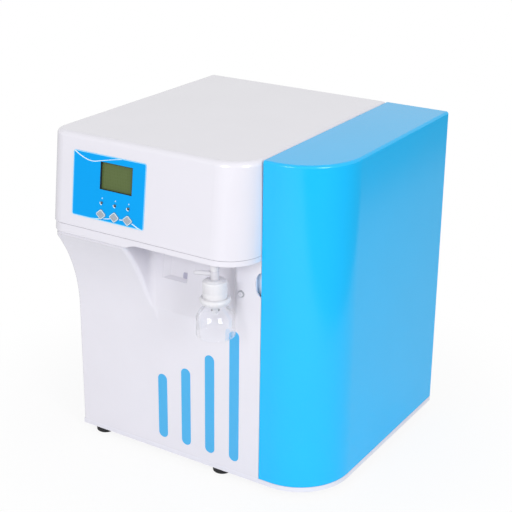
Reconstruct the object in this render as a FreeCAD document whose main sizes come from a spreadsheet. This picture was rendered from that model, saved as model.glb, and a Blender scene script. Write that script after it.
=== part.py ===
import FreeCAD, Part
import math
import os
import re

import Sketcher
from FreeCAD import Placement, Rotation, Vector

# Benchtop ultrapure water system: a white moulded cabinet whose leaning hood carries the control
# panel, a dispensing alcove under the hood, and a hinged side door over the filter cartridges.
# Cabinet coordinates: x to the right from the cabinet's left face, y to the back from the foot of
# the front panel, z up from the underside of the base pan. Every sub-part is placed so that the
# origin of the finished part is the middle of its footprint on the table.

doc = FreeCAD.newDocument("UltrapureWaterSystem")
sheet = doc.addObject("Spreadsheet::Sheet", "Sizes")

DIMENSIONS = (
    # cabinet
    ("cabinet_width", 438.0, "left face to the door's outer face"),
    ("cabinet_height", 495.0, "base pan's underside to the top"),
    ("body_depth", 369.0, "foot of the front panel to the rear panel"),
    ("door_width", 104.0, "door's outer face to its seam with the white shell"),
    ("white_width", "=cabinet_width - door_width", "left face to the seam with the side door"),
    ("shell_wall", 3.0, "wall of the mouldings"),
    ("sheet_metal", 2.0, "sheet of the rear panel, side panel and chassis"),
    ("seam_gap", 0.6, "gap at the seams between mouldings"),
    ("face_lean", 11.5, "how far the lower front leans back over the whole height"),
    ("rim_height", 7.5, "rim of the base pan"),
    ("pan_floor", 2.0, "floor of the base pan"),
    ("front_radius", 4.0, "left front corner of the cabinet"),
    ("door_radius", 84.0, "right front corner, on the door"),
    ("door_edge_radius", 4.0, "top edge of the door"),
    # feet
    ("foot_height", 11.0, "rubber foot under the base pan"),
    ("foot_radius", 13.5, "rubber foot at its top"),
    ("foot_taper", 1.5, "how much narrower the foot is at the table"),
    ("foot_inset_x", 30.0, "left feet from the left face"),
    ("foot_middle_inset", 76.0, "middle feet from the seam"),
    ("foot_right_inset", 50.0, "right feet from the door's outer face"),
    ("foot_inset_y", 18.0, "left and middle front feet from the front"),
    ("foot_corner_y", 84.0, "right front foot from the front"),
    ("foot_back_inset", 32.0, "rear feet from the rear panel"),
    ("foot_screw_radius", 2.0, "screw that holds a foot"),
    ("foot_screw_head", 4.0, "radius of its head"),
    # hood
    ("hood_height", 133.9, "top shell"),
    ("hood_bottom", "=cabinet_height - hood_height", "underside of the top shell"),
    ("hood_reach", 42.6, "how far the top shell's lower edge stands ahead of the front"),
    ("hood_lean", 8.15, "degrees that the hood's front leans back going up"),
    ("hood_flare", 7.5, "how far the hood stands out at its left front corner"),
    ("hood_left_radius", 25.0, "left front corner of the hood"),
    ("hood_right_radius", 52.0, "right front corner of the hood"),
    ("hood_edge_radius", 8.0, "top edge of the hood"),
    # front panel
    ("lip_height", 15.8, "lip under the top shell, at the left"),
    ("lip_height_right", 8.1, "lip under the top shell, over the alcove"),
    ("lip_left", "=hood_bottom - lip_height", "bottom of the lip at the left"),
    ("lip_right", "=hood_bottom - lip_height_right", "bottom of the lip over the alcove"),
    ("lip_edge_radius", 4.0, "lower edge of the lip"),
    ("step_start", 131.0, "where the lip starts to step up"),
    ("step_run", 22.0, "width of that step"),
    ("overhang_rise", 151.1, "height over which the front curves out under the hood"),
    ("overhang_start", "=hood_bottom - overhang_rise", "where the front starts to curve out"),
    ("cove_set_back", 6.0, "upper end of the cove behind the lip's face"),
    ("cove_radius", 218.0, "concave curve below the left part of the hood"),
    ("panel_depth", 30.5, "depth of the front panel moulding"),
    ("alcove_left_low", 145.0, "left side of the alcove at its foot"),
    ("alcove_left_top", 131.0, "left side of the alcove at its ceiling"),
    ("alcove_inset", 41.0, "right side of the alcove from the seam"),
    ("alcove_right", "=white_width - alcove_inset", "right side of the alcove"),
    ("alcove_rise", 123.1, "foot of the alcove's slope below the top shell"),
    ("alcove_foot", "=hood_bottom - alcove_rise", "height where the alcove's wall starts to slope in"),
    ("alcove_depth", 18.0, "depth of the alcove behind the front, at its ceiling"),
    ("alcove_corner", 12.0, "left corner of the alcove"),
    ("alcove_flank_radius", 20.0, "right flank of the alcove"),
    ("alcove_edge_radius", 6.0, "edges of the alcove's two flanks"),
    ("notch_height", 36.4, "finger notch beside the door"),
    ("notch_reach", 9.4, "depth of the finger notch from the seam"),
    ("notch_drop", 45.1, "middle of the finger notch below the top shell"),
    ("notch_middle", "=hood_bottom - notch_drop", "height of the finger notch"),
    ("niche_left", 158.0, "sensor niche in the alcove: its left side"),
    ("niche_width", 44.0, "sensor niche"),
    ("niche_drop", 75.1, "bottom of the sensor niche below the top shell"),
    ("niche_bottom", "=hood_bottom - niche_drop", "sensor niche"),
    ("niche_depth", 5.0, "sensor niche"),
    ("panel_screw_inset", 32.4, "screw beside the alcove, from the seam"),
    ("panel_screw_x", "=white_width - panel_screw_inset", "screw beside the alcove"),
    ("panel_screw_drop", 64.6, "that screw below the top shell"),
    ("panel_screw_z", "=hood_bottom - panel_screw_drop", "screw beside the alcove"),
    ("panel_screw_head", 5.0, "radius of its head"),
    ("panel_screw_shank", 2.0, "radius of its shank"),
    # stripes
    ("stripe_width", 16.8, "blue inlay"),
    ("stripe_pitch", 43.3, "spacing of the inlays"),
    ("stripe_inset", 43.8, "middle of the rightmost inlay from the seam"),
    ("stripe_bottom", 23.4, "lower end of every inlay"),
    ("stripe_top_1", 131.5, "upper end of the leftmost inlay"),
    ("stripe_top_2", 152.5, "upper end of the second inlay"),
    ("stripe_top_3", 186.0, "upper end of the third inlay"),
    ("stripe_clearance", 2.0, "rightmost inlay below the alcove's slope"),
    ("stripe_thickness", 1.2, "inlay"),
    ("stripe_seat", 1.0, "depth of its groove"),
    # door and its hinge
    ("hinge_inset", 7.0, "hinge axis from the door's outer and rear faces"),
    ("hinge_pin_radius", 3.0, "hinge pins"),
    ("running_clearance", 0.06, "radial clearance of turning and sliding fits"),
    ("lug_thickness", 6.0, "hinge lugs in the door"),
    ("lug_drop", 19.0, "upper hinge lug below the cabinet's top"),
    ("lug_top", "=cabinet_height - lug_drop", "top of the upper hinge lug"),
    ("bracket_thickness", 3.0, "upper hinge bracket"),
    ("door_return", 17.0, "rear return of the door"),
    ("return_drop", 2.0, "rear return below the upper hinge lug's top"),
    ("return_top", "=lug_top - return_drop", "top of the rear return, below the hinge bracket"),
    ("tongue_depth", 16.0, "grip tongue behind the finger notch, from the front"),
    ("tongue_thickness", 2.5, "grip tongue"),
    ("tongue_reach", 11.0, "how far the grip tongue passes behind the front panel"),
    ("tongue_height", 40.0, "grip tongue"),
    ("catch_width", 14.0, "strike plate of the door catch"),
    ("catch_height", 30.0, "door catch"),
    ("magnet_radius", 4.0, "magnets of the door catch"),
    # control panel, in the leaning plane of the hood
    ("overlay_left", 39.0, "left edge of the control overlay"),
    ("overlay_width", 130.0, "control overlay"),
    ("overlay_height", 95.0, "control overlay"),
    ("overlay_rise", 16.9, "overlay's lower edge above the top shell's"),
    ("overlay_bottom", "=hood_bottom + overlay_rise", "height of the overlay's lower edge"),
    ("overlay_thickness", 0.6, "control overlay"),
    ("overlay_corner", 3.5, "corners of the control overlay"),
    ("window_left", 49.5, "display window from the overlay's left edge"),
    ("window_bottom", 45.5, "display window from the overlay's lower edge"),
    ("window_width", 57.5, "display window"),
    ("window_height", 39.8, "display window"),
    ("button_first", 53.8, "first button from the overlay's left edge"),
    ("button_pitch", 24.0, "spacing of the buttons and lamps"),
    ("button_up", 9.3, "buttons above the overlay's lower edge"),
    ("button_half", 9.4, "middle of a button to its side points"),
    ("button_rise", 7.9, "middle of a button to its upper and lower points"),
    ("button_corner", 2.6, "points of a button"),
    ("button_proud", 0.9, "button in front of the overlay"),
    ("button_travel", 1.0, "stroke of a button"),
    ("button_gap", 0.45, "gap round a button"),
    ("lamp_up", 26.0, "indicator lamps above the overlay's lower edge"),
    ("lamp_radius", 2.2, "indicator lamp"),
    ("board_depth", 11.0, "display board behind the hood's face"),
    ("board_thickness", 1.6, "circuit boards"),
    # dispenser
    ("outlet_inset", 54.4, "axis of the dispenser from the seam"),
    ("outlet_x", "=white_width - outlet_inset", "axis of the dispenser"),
    ("outlet_reach", 26.0, "axis of the dispenser ahead of the front"),
    ("pipe_radius", 6.3, "outlet pipe"),
    ("pipe_bore", 2.5, "water way of the outlet pipe and capsule"),
    ("core_radius", 4.4, "barb of the outlet pipe"),
    ("barb_length", 27.0, "barb below the pipe's shoulder"),
    ("pipe_drop", 22.1, "shoulder of the outlet pipe below the top shell"),
    ("pipe_shoulder", "=hood_bottom - pipe_drop", "shoulder of the outlet pipe"),
    ("pipe_rise", 16.9, "outlet pipe above the top shell's lower edge"),
    ("pipe_top", "=hood_bottom + pipe_rise", "upper end of the outlet pipe, inside the hood"),
    ("lever_drop", 5.4, "tap lever below the pipe's shoulder"),
    ("lever_up", "=pipe_shoulder - lever_drop", "height of the tap lever"),
    ("lever_length", 30.0, "tap lever from the axis"),
    ("lever_thickness", 7.0, "tap lever"),
    ("lever_angle", 22.0, "degrees that the lever points ahead of the left"),
    ("capsule_drop", 14.0, "filter capsule below the pipe's shoulder"),
    ("capsule_top", "=pipe_shoulder - capsule_drop", "shoulder of the filter capsule"),
    ("capsule_radius", 17.4, "filter capsule"),
    ("capsule_height", 25.5, "filter capsule above its ring"),
    ("ring_top", "=capsule_top - capsule_height", "top of the capsule's ring"),
    ("ring_height", 9.5, "capsule's ring"),
    ("ring_bottom", "=ring_top - ring_height", "bottom of the capsule's ring"),
    ("ring_radius", 22.3, "capsule's ring"),
    ("nozzle_length", 8.0, "outlet nozzle below the capsule's ring"),
    ("nozzle_radius", 6.5, "outlet nozzle"),
    ("bell_radius", 28.0, "filling bell"),
    ("bell_neck", 16.0, "neck of the filling bell"),
    ("bell_wall", 1.4, "filling bell"),
    ("bell_dome", 25.0, "domed shoulder of the filling bell"),
    ("bell_shoulder", "=ring_bottom - bell_dome", "height where the bell reaches its full radius"),
    ("bell_skirt", 24.0, "straight skirt of the filling bell"),
    ("bell_rim", "=bell_shoulder - bell_skirt", "open lower rim of the filling bell"),
    # cartridges behind the door
    ("cartridge_inset", 53.0, "axis of the cartridges from the door's outer face"),
    ("cartridge_x", "=cabinet_width - cartridge_inset", "axis of the cartridges"),
    ("cartridge_first", 80.0, "front cartridge from the front"),
    ("cartridge_pitch", 100.0, "spacing of the cartridges"),
    ("cartridge_radius", 34.0, "cartridge"),
    ("cartridge_drop", 37.1, "shoulder of the cartridges below the top shell"),
    ("cartridge_length", 228.0, "cartridge below its neck"),
    ("cartridge_bottom", "=hood_bottom - cartridge_drop - cartridge_length", "underside of the cartridges"),
    ("neck_radius", 20.0, "neck of a cartridge"),
    ("neck_length", 16.0, "neck of a cartridge"),
    ("manifold_height", 34.0, "filter manifold"),
    ("manifold_width", 84.0, "filter manifold"),
    # tubes and ports
    ("tube_radius", 3.2, "quarter-inch tube"),
    ("tube_bend", 16.0, "bends of the tubes, at the middle line"),
    ("port_radius", 8.0, "push-fit port"),
    ("port_reach", 16.0, "ports behind the rear panel"),
    ("port_inset", 98.0, "feed port from the seam"),
    ("port_first", "=white_width - port_inset", "feed port from the left face"),
    ("port_pitch", 60.0, "drain port beside it"),
    ("port_up", 40.0, "height of the ports"),
    ("collet_radius", 5.0, "release collet of a port"),
    ("collet_reach", 3.0, "collet behind its port"),
    ("collet_travel", 1.2, "stroke of a collet"),
    # electrics at the rear
    ("inlet_x", 60.0, "middle of the power inlet"),
    ("inlet_up", 58.0, "height of the power inlet"),
    ("inlet_width", 28.0, "socket body of the power inlet"),
    ("inlet_height", 21.0, "socket body of the power inlet"),
    ("inlet_depth", 17.0, "depth of the socket"),
    ("switch_up", 108.0, "height of the power switch"),
    ("switch_width", 14.0, "power switch body"),
    ("switch_height", 22.0, "power switch body"),
    ("fan_x", 90.0, "middle of the fan"),
    ("fan_drop", 87.0, "middle of the fan below the cabinet's top"),
    ("fan_up", "=cabinet_height - fan_drop", "height of the fan"),
    ("fan_size", 80.0, "fan frame"),
    ("fan_depth", 25.0, "fan frame"),
    ("fan_bore", 37.5, "fan frame"),
    # water treatment inside
    ("wet_wall", 176.0, "front face of the bulkhead"),
    ("housing_radius", 31.0, "membrane housing"),
    ("housing_drop", 61.1, "top of the membrane housing below the top shell"),
    ("housing_length", "=hood_bottom - housing_drop - pan_floor", "membrane housing"),
    ("housing_x", 45.0, "axis of the membrane housing"),
    ("housing_y", 130.0, "axis of the membrane housing"),
    ("lamp_tube_radius", 25.0, "ultraviolet reactor"),
    ("vessel_gap", 12.0, "between the membrane housing and the ultraviolet reactor"),
    ("lamp_tube_x", "=housing_x + housing_radius + vessel_gap + lamp_tube_radius", "ultraviolet reactor"),
    ("pump_inset", 43.6, "axis of the circulation pump from the seam"),
    ("pump_pitch", 66.0, "booster pump beside it"),
    ("pump_first", "=white_width - pump_inset - pump_pitch", "axis of the booster pump"),
    ("pump_width", 60.0, "pump head"),
    ("pump_motor_radius", 27.0, "pump motor"),
    ("supply_height", 52.0, "power supply"),
    ("fuse_height", 12.0, "fuse drawer below the power inlet"),
    ("rocker_half", 8.6, "rocker from its axis to its upper and lower edges"),
    ("rocker_depth", 6.0, "rocker from its axis to its pressing edges"),
    ("rocker_tilt", 10.0, "degrees that the rocker leans to each side"),
    ("feed_rise", 34.9, "tube to the dispenser above the top shell's lower edge"),
    ("feed_height", "=hood_bottom + feed_rise", "height of the tube to the dispenser"),
    ("feed_y", 130.0, "where that tube enters the filter manifold"),
    ("cell_length", 36.0, "conductivity cell"),
    ("valve_up", 136.0, "height of the solenoid valves"),
    ("valve_size", 26.0, "solenoid valve"),
    ("valve_offset", 36.0, "solenoid valve to the left of its port"),
    ("tube_level", 99.0, "height where the tubes pass the bulkhead"),
    ("tube_turn", 250.0, "where the tubes rise behind the bulkhead"),
    ("board_drop", 161.1, "control board's lower edge below the top shell"),
    ("board_low", "=hood_bottom - board_drop", "control board above the cabinet's underside"),
    ("board_width", 148.0, "control board"),
    ("board_height", 111.0, "control board"),
    ("board_margin", 5.0, "pillars from the control board's edges"),
    ("pillar_radius", 3.0, "pillars of the control board"),
    ("relay_size", 16.0, "relays on the control board"),
)
for row, (alias, value, note) in enumerate(DIMENSIONS, start=1):
    sheet.set(f"A{row}", note)
    sheet.set(f"B{row}", str(value))
    sheet.setAlias(f"B{row}", alias)
doc.recompute()
ALIASES = {row[0] for row in DIMENSIONS}
SIZE = {alias: sheet.get(alias) for alias in ALIASES}

# Corner of the cabinet coordinates in the finished part's frame. The hood's round left corner
# keeps it from standing out by the whole flare.
LEFT = "(hood_flare * (1 - hood_left_radius / (body_depth + hood_reach)) - cabinet_width) / 2"
FRONT = "(outlet_reach + bell_radius - body_depth - port_reach - collet_reach) / 2"
FLOOR = "foot_height"

# Places that several sub-parts share.
HINGE = ("(cabinet_width - hinge_inset)", "(body_depth - hinge_inset)")
OUTLET = ("outlet_x", "-outlet_reach")
PARTITION_RIGHT = "(white_width - shell_wall - seam_gap)"
PARTITION_LEFT = f"({PARTITION_RIGHT} - sheet_metal)"
REAR_INSIDE = "(body_depth - sheet_metal)"
MANIFOLD_MIDDLE = "cartridge_bottom + cartridge_length + manifold_height / 2"
NODES = []


def bound(text):
    """Spell an expression with every size word pointing at the sheet."""

    def spell(word):
        return ("Sizes." if word.group() in ALIASES else "") + word.group()

    return re.sub(r"[a-z_0-9]+", spell, str(text))


def bind(thing, **expressions):
    for prop, text in expressions.items():
        thing.setExpression(prop.replace("__", "."), bound(text))
    return thing


def place(thing, x=0, y=0, z=0):
    """Put a thing at a point given in cabinet coordinates."""
    return bind(
        thing,
        Placement__Base__x=f"{LEFT} + {x}",
        Placement__Base__y=f"{FRONT} + {y}",
        Placement__Base__z=f"{FLOOR} + {z}",
    )


def node(thing, label):
    thing.Label = label
    NODES.append(thing)
    return thing


def box(x, y, z, length, width, height):
    brick = bind(doc.addObject("Part::Box", "Block"), Length=length, Width=width, Height=height)
    return place(brick, x, y, z)


def centred_box(x, y, z, length, width, height):
    """A block whose middle in x and z is given, and whose front in y."""
    return box(f"{x} - ({length}) / 2", y, f"{z} - ({height}) / 2", length, width, height)


TURNS = {
    "x": Rotation(Vector(0, 1, 0), 90),
    "y": Rotation(Vector(1, 0, 0), -90),
    "z": Rotation(),
}


def cylinder(x, y, z, radius, height, axis="z"):
    rod = bind(doc.addObject("Part::Cylinder", "Round"), Radius=radius, Height=height)
    rod.Placement.Rotation = TURNS[axis]
    return place(rod, x, y, z)


def cone(x, y, z, radius_low, radius_high, height, axis="z"):
    taper = bind(doc.addObject("Part::Cone", "Taper"), Radius1=radius_low, Radius2=radius_high, Height=height)
    taper.Placement.Rotation = TURNS[axis]
    return place(taper, x, y, z)


def fuse(*parts):
    whole = doc.addObject("Part::MultiFuse", "Union")
    whole.Shapes = list(parts)
    return whole


def cut(base, *tools):
    rest = doc.addObject("Part::Cut", "Cut")
    rest.Base = base
    rest.Tool = tools[0] if len(tools) == 1 else fuse(*tools)
    return rest


def body(label, x=0, y=0, z=0):
    return place(doc.addObject("PartDesign::Body", label), x, y, z)


def sketch(owner, plane, offset=0):
    """A sketch on one of the body's own origin planes, moved along the plane's normal."""
    drawing = owner.newObject("Sketcher::SketchObject", "Sketch")
    drawing.AttachmentSupport = [(next(f for f in owner.Origin.OriginFeatures if f.Role == plane), "")]
    drawing.MapMode = "FlatFace"
    drawing.setExpression(".AttachmentOffset.Base.z", bound(offset))
    return drawing


def polygon(drawing, *points):
    """Draw a closed polygon whose corners are pairs of expressions."""
    first = drawing.GeometryCount
    count = len(points)
    turn = 2 * math.pi / count
    start = [Vector(math.cos(i * turn), math.sin(i * turn)) * 10 for i in range(count)]
    for i in range(count):
        drawing.addGeometry(Part.LineSegment(start[i], start[(i + 1) % count]))
    for i in range(count):
        drawing.addConstraint(Sketcher.Constraint("Coincident", first + i, 2, first + (i + 1) % count, 1))
    for i, corner in enumerate(points):
        for kind, guess, text in (("DistanceX", start[i].x, corner[0]), ("DistanceY", start[i].y, corner[1])):
            index = drawing.addConstraint(Sketcher.Constraint(kind, -1, 1, first + i, 1, guess))
            drawing.setExpression(f"Constraints[{index}]", bound(text))
    return drawing


def rectangle(drawing, x1, y1, x2, y2):
    return polygon(drawing, (x1, y1), (x2, y1), (x2, y2), (x1, y2))


def circle(drawing, x, y, radius):
    edge = drawing.addGeometry(Part.Circle(Vector(1, 1, 0), Vector(0, 0, 1), 1))
    for kind, text in (("DistanceX", x), ("DistanceY", y)):
        index = drawing.addConstraint(Sketcher.Constraint(kind, -1, 1, edge, 3, 1.0))
        drawing.setExpression(f"Constraints[{index}]", bound(text))
    index = drawing.addConstraint(Sketcher.Constraint("Radius", edge, 1.0))
    drawing.setExpression(f"Constraints[{index}]", bound(radius))
    return drawing


def pad(owner, drawing, length, reversed_way=False):
    feature = owner.newObject("PartDesign::Pad", "Pad")
    feature.Profile = drawing
    feature.Reversed = reversed_way
    return bind(feature, Length=length)


def pocket(owner, drawing, length, reversed_way=False):
    feature = owner.newObject("PartDesign::Pocket", "Pocket")
    feature.Profile = drawing
    feature.Reversed = reversed_way
    return bind(feature, Length=length)


def coded(label, shape):
    """A sub-part whose form only code can give, drawn in cabinet coordinates."""
    feature = doc.addObject("Part::Feature", label)
    feature.Shape = Part.makeCompound([shape])
    return node(place(feature), label)


def face_y(z):
    """Front plane of the lower cabinet at a height."""
    return SIZE["face_lean"] * z / SIZE["cabinet_height"]


def hood_y(z):
    """Front plane of the hood at a height."""
    return -SIZE["hood_reach"] + (z - SIZE["hood_bottom"]) * math.tan(math.radians(SIZE["hood_lean"]))


def rounded_polygon(corners, z):
    """A closed level wire through (x, y, corner radius) points."""
    count = len(corners)
    ends = []
    arcs = []
    for i, (x, y, radius) in enumerate(corners):
        here = Vector(x, y, z)
        back = (Vector(*corners[i - 1][:2], z) - here).normalize()
        ahead = (Vector(*corners[(i + 1) % count][:2], z) - here).normalize()
        if not radius:
            ends.append((here, here))
            arcs.append(None)
            continue
        half = back.getAngle(ahead) / 2
        reach = radius / math.tan(half)
        middle = (back + ahead).normalize()
        crown = here + middle * (radius / math.sin(half) - radius)
        ends.append((here + back * reach, here + ahead * reach))
        arcs.append(crown)
    edges = []
    for i in range(count):
        if arcs[i]:
            edges.append(Part.Arc(ends[i][0], arcs[i], ends[i][1]).toShape())
        leave, arrive = ends[i][1], ends[(i + 1) % count][0]
        edges.append(Part.LineSegment(leave, arrive).toShape())
    return Part.Wire(edges)


def tower(outline, low, high):
    """A solid between the same outline at two heights."""
    ends = [rounded_polygon(outline(z), z) for z in (low, high)]
    return Part.makeLoft(ends, True, True)


def along_x(points, x, length):
    """A prism along x from a closed profile of (y, z) points."""
    wire = Part.makePolygon([Vector(x, y, z) for y, z in points + points[:1]])
    return Part.Face(wire).extrude(Vector(length, 0, 0))


def block(x1, y1, z1, x2, y2, z2):
    return Part.makeBox(x2 - x1, y2 - y1, z2 - z1, Vector(x1, y1, z1))


# ---------------------------------------------------------------- base pan and feet

def cabinet_outline(inset, left, back):
    """Plan of the cabinet's foot, with the wide round corner at the right front."""

    def outline(z):
        front = face_y(z) + inset
        right = SIZE["cabinet_width"] - inset
        corner = SIZE["door_radius"] - inset
        return [(left, front, 0), (right, front, corner), (right, back, 0), (left, back, 0)]

    return outline


def make_base_pan():
    """A moulded tray with a low rim; the feet are screwed to its floor."""
    floor, rim, depth = SIZE["pan_floor"], SIZE["rim_height"], SIZE["body_depth"]
    pan = tower(cabinet_outline(0, 0, depth), 0, rim)
    pan = pan.cut(tower(cabinet_outline(floor, floor, depth - floor), floor, rim + floor))
    tray = doc.addObject("Part::Feature", "Tray")
    tray.Shape = pan
    place(tray)
    height = "rim_height + seam_gap - running_clearance - pan_floor / 2"
    boss = cylinder(*HINGE, "pan_floor / 2", "hinge_inset - seam_gap", height)
    holes = [cylinder(x, y, 0, "foot_screw_radius", "pan_floor") for x, y in foot_places()]
    holes.append(cylinder(*HINGE, "pan_floor", "hinge_pin_radius", "2 * rim_height"))
    node(cut(fuse(tray, boss), *holes), "base_pan")


def foot_places():
    back = "body_depth - foot_back_inset"
    middle = "white_width - foot_middle_inset"
    right = "cabinet_width - foot_right_inset"
    return (
        ("foot_inset_x", "foot_inset_y"),
        (middle, "foot_inset_y"),
        (right, "foot_corner_y"),
        ("foot_inset_x", back),
        (middle, back),
        (right, back),
    )


def make_feet():
    """Rubber feet, each screwed up against the pan's floor from inside it."""
    feet = []
    screws = []
    for x, y in foot_places():
        rubber = cone(x, y, "-foot_height", "foot_radius - foot_taper", "foot_radius", "foot_height")
        feet.append(cut(rubber, cylinder(x, y, "-foot_height / 2", "foot_screw_radius", "foot_height / 2")))
        shank = cylinder(x, y, "-foot_height / 2", "foot_screw_radius", "foot_height / 2 + pan_floor")
        head = cylinder(x, y, "pan_floor", "foot_screw_head", "foot_screw_radius")
        screws.append(fuse(shank, head))
    node(fuse(*feet), "feet")
    node(fuse(*screws), "foot_screws")


# ---------------------------------------------------------------- front panel

def front_profile(inset, top, back):
    """The cove's profile across the depth, up to the lip; inset, it is the hollow behind the wall."""
    low = SIZE["rim_height"] + inset
    start = SIZE["overhang_start"]
    radius = SIZE["cove_radius"] + inset
    hub = Vector(0, face_y(start) - SIZE["cove_radius"], start)
    rise = min(SIZE["lip_left"], top) - start
    end = Vector(0, hub.y + math.sqrt(radius**2 - rise**2), start + rise)
    middle = math.asin(rise / radius) / 2
    crown = Vector(0, hub.y + radius * math.cos(middle), hub.z + radius * math.sin(middle))
    foot = Vector(0, face_y(low) + inset, low)
    knee = Vector(0, hub.y + radius, start)
    step = end.y if inset else face_y(top)
    route = [end, Vector(0, step, end.z), Vector(0, step, top)]
    route += [Vector(0, back, top), Vector(0, back, low), foot, knee]
    if inset:
        route.pop(1)
    edges = [Part.LineSegment(a, b).toShape() for a, b in zip(route, route[1:])]
    return Part.Face(Part.Wire(edges + [Part.Arc(knee, crown, end).toShape()]))


def alcove_section(grow):
    """Outline of the alcove's cutter at a height; grow makes it larger all round."""
    start, foot, top = SIZE["overhang_start"], SIZE["alcove_foot"], SIZE["lip_right"]
    depth_slope = (face_y(top) + SIZE["alcove_depth"] - face_y(foot)) / (top - foot)
    side_slope = (SIZE["alcove_left_top"] - SIZE["alcove_left_low"]) / (top - start)
    ahead = -2 * SIZE["hood_reach"]

    def outline(z):
        left = SIZE["alcove_left_low"] + side_slope * (z - start) - grow
        wall = max(face_y(z), face_y(foot) + depth_slope * (z - foot))
        right = SIZE["alcove_right"] - (wall - face_y(z)) + grow * (math.sqrt(2) - 1)
        wall += grow
        return [
            (left, ahead, 0),
            (left, wall, SIZE["alcove_corner"] + grow),
            (right, wall, SIZE["alcove_flank_radius"] + grow),
            (right + wall - ahead, ahead, 0),
        ]

    return outline


def alcove(grow):
    """Everything that the alcove and the space beside it take out of the front panel."""
    low = SIZE["overhang_start"] - SIZE["alcove_depth"]
    foot = SIZE["alcove_foot"]
    top = SIZE["lip_right"] + grow
    section = alcove_section(grow)
    hollow = tower(section, low, foot).fuse(tower(section, foot, top))
    ahead = -2 * SIZE["hood_reach"]
    right = SIZE["white_width"] + SIZE["door_radius"]
    beside = along_x(
        [(ahead, low), (face_y(low) + grow, low), (face_y(top) + grow, top), (ahead, top)],
        SIZE["alcove_right"] - SIZE["alcove_depth"],
        right - SIZE["alcove_right"] + SIZE["alcove_depth"],
    )
    step = rounded_polygon(
        [
            (0, low, 0),
            (right, low, 0),
            (right, top, 0),
            (SIZE["step_start"] + SIZE["step_run"], top, SIZE["step_run"] * 1.6),
            (SIZE["step_start"], SIZE["lip_left"] + grow, SIZE["step_run"] * 1.6),
            (0, SIZE["lip_left"] + grow, 0),
        ],
        0,
    )
    slab = Part.Face(step).extrude(Vector(0, 0, SIZE["body_depth"]))
    slab.Placement = Placement(Vector(0, SIZE["body_depth"] / 2, 0), Rotation(Vector(1, 0, 0), 90))
    return hollow.fuse(beside).common(slab)


def hood_outline(inset, back):
    """Plan of the hood at a height: leaning front, flared left side, two round corners."""

    def outline(z):
        front = hood_y(z) + inset
        return [
            (inset - SIZE["hood_flare"], front, SIZE["hood_left_radius"] - inset),
            (SIZE["white_width"] - inset, front, SIZE["hood_right_radius"] - inset),
            (SIZE["white_width"] - inset, back, 0),
            (inset, back, 0),
        ]

    return outline


def stripe_shapes(depth, ahead=0.0):
    """The four inlays as slabs in the leaning front, from a depth behind it to a little ahead."""
    lean = math.degrees(math.atan(SIZE["face_lean"] / SIZE["cabinet_height"]))
    half = SIZE["stripe_width"] / 2
    end = half * 0.999
    last = SIZE["white_width"] - SIZE["stripe_inset"]
    tops = [SIZE["stripe_top_1"], SIZE["stripe_top_2"], SIZE["stripe_top_3"]]
    tops.append(SIZE["alcove_foot"] - SIZE["stripe_clearance"])
    bars = []
    for i, high in enumerate(reversed(tops)):
        x = last - i * SIZE["stripe_pitch"]
        low = SIZE["stripe_bottom"]
        wire = rounded_polygon(
            [(x - half, low, end), (x + half, low, end), (x + half, high, end), (x - half, high, end)],
            -depth,
        )
        bar = Part.Face(wire).extrude(Vector(0, 0, depth + ahead))
        bar.Placement = Placement(Vector(), Rotation(Vector(1, 0, 0), 90 - lean))
        bars.append(bar)
    return bars


def behind_lip(inset):
    """The room behind the lip's face, which the cove's round left corner keeps to."""

    def outline(z):
        front = hood_y(z) + SIZE["cove_set_back"] + inset
        far, back = 2 * SIZE["white_width"], SIZE["body_depth"]
        left, corner = inset - SIZE["hood_flare"], SIZE["hood_left_radius"] - inset
        return [(left, front, corner), (far, front, 0), (far, back, 0), (inset, back, 0)]

    return tower(outline, 0, SIZE["hood_bottom"])


def soften(solid):
    """Round the two edges where the alcove's flanks meet the front."""
    middle = (SIZE["alcove_left_low"] + SIZE["alcove_left_top"]) / 2
    spread = SIZE["alcove_left_low"] - SIZE["alcove_left_top"]
    foot = SIZE["alcove_foot"]
    ahead = [e for e in solid.Edges if e.BoundBox.YMax < face_y(foot) and e.BoundBox.ZMin > foot]
    left = [e for e in ahead if abs(e.BoundBox.Center.x - middle) < spread]
    edge = SIZE["alcove_right"]
    right = [e for e in solid.Edges if abs(e.BoundBox.XMin - edge) < 0.1 and e.BoundBox.XLength < 0.1]
    tallest = [max(side, key=lambda e: e.BoundBox.ZLength) for side in (left, right)]
    return solid.makeFillet(SIZE["alcove_edge_radius"], tallest)


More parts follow.
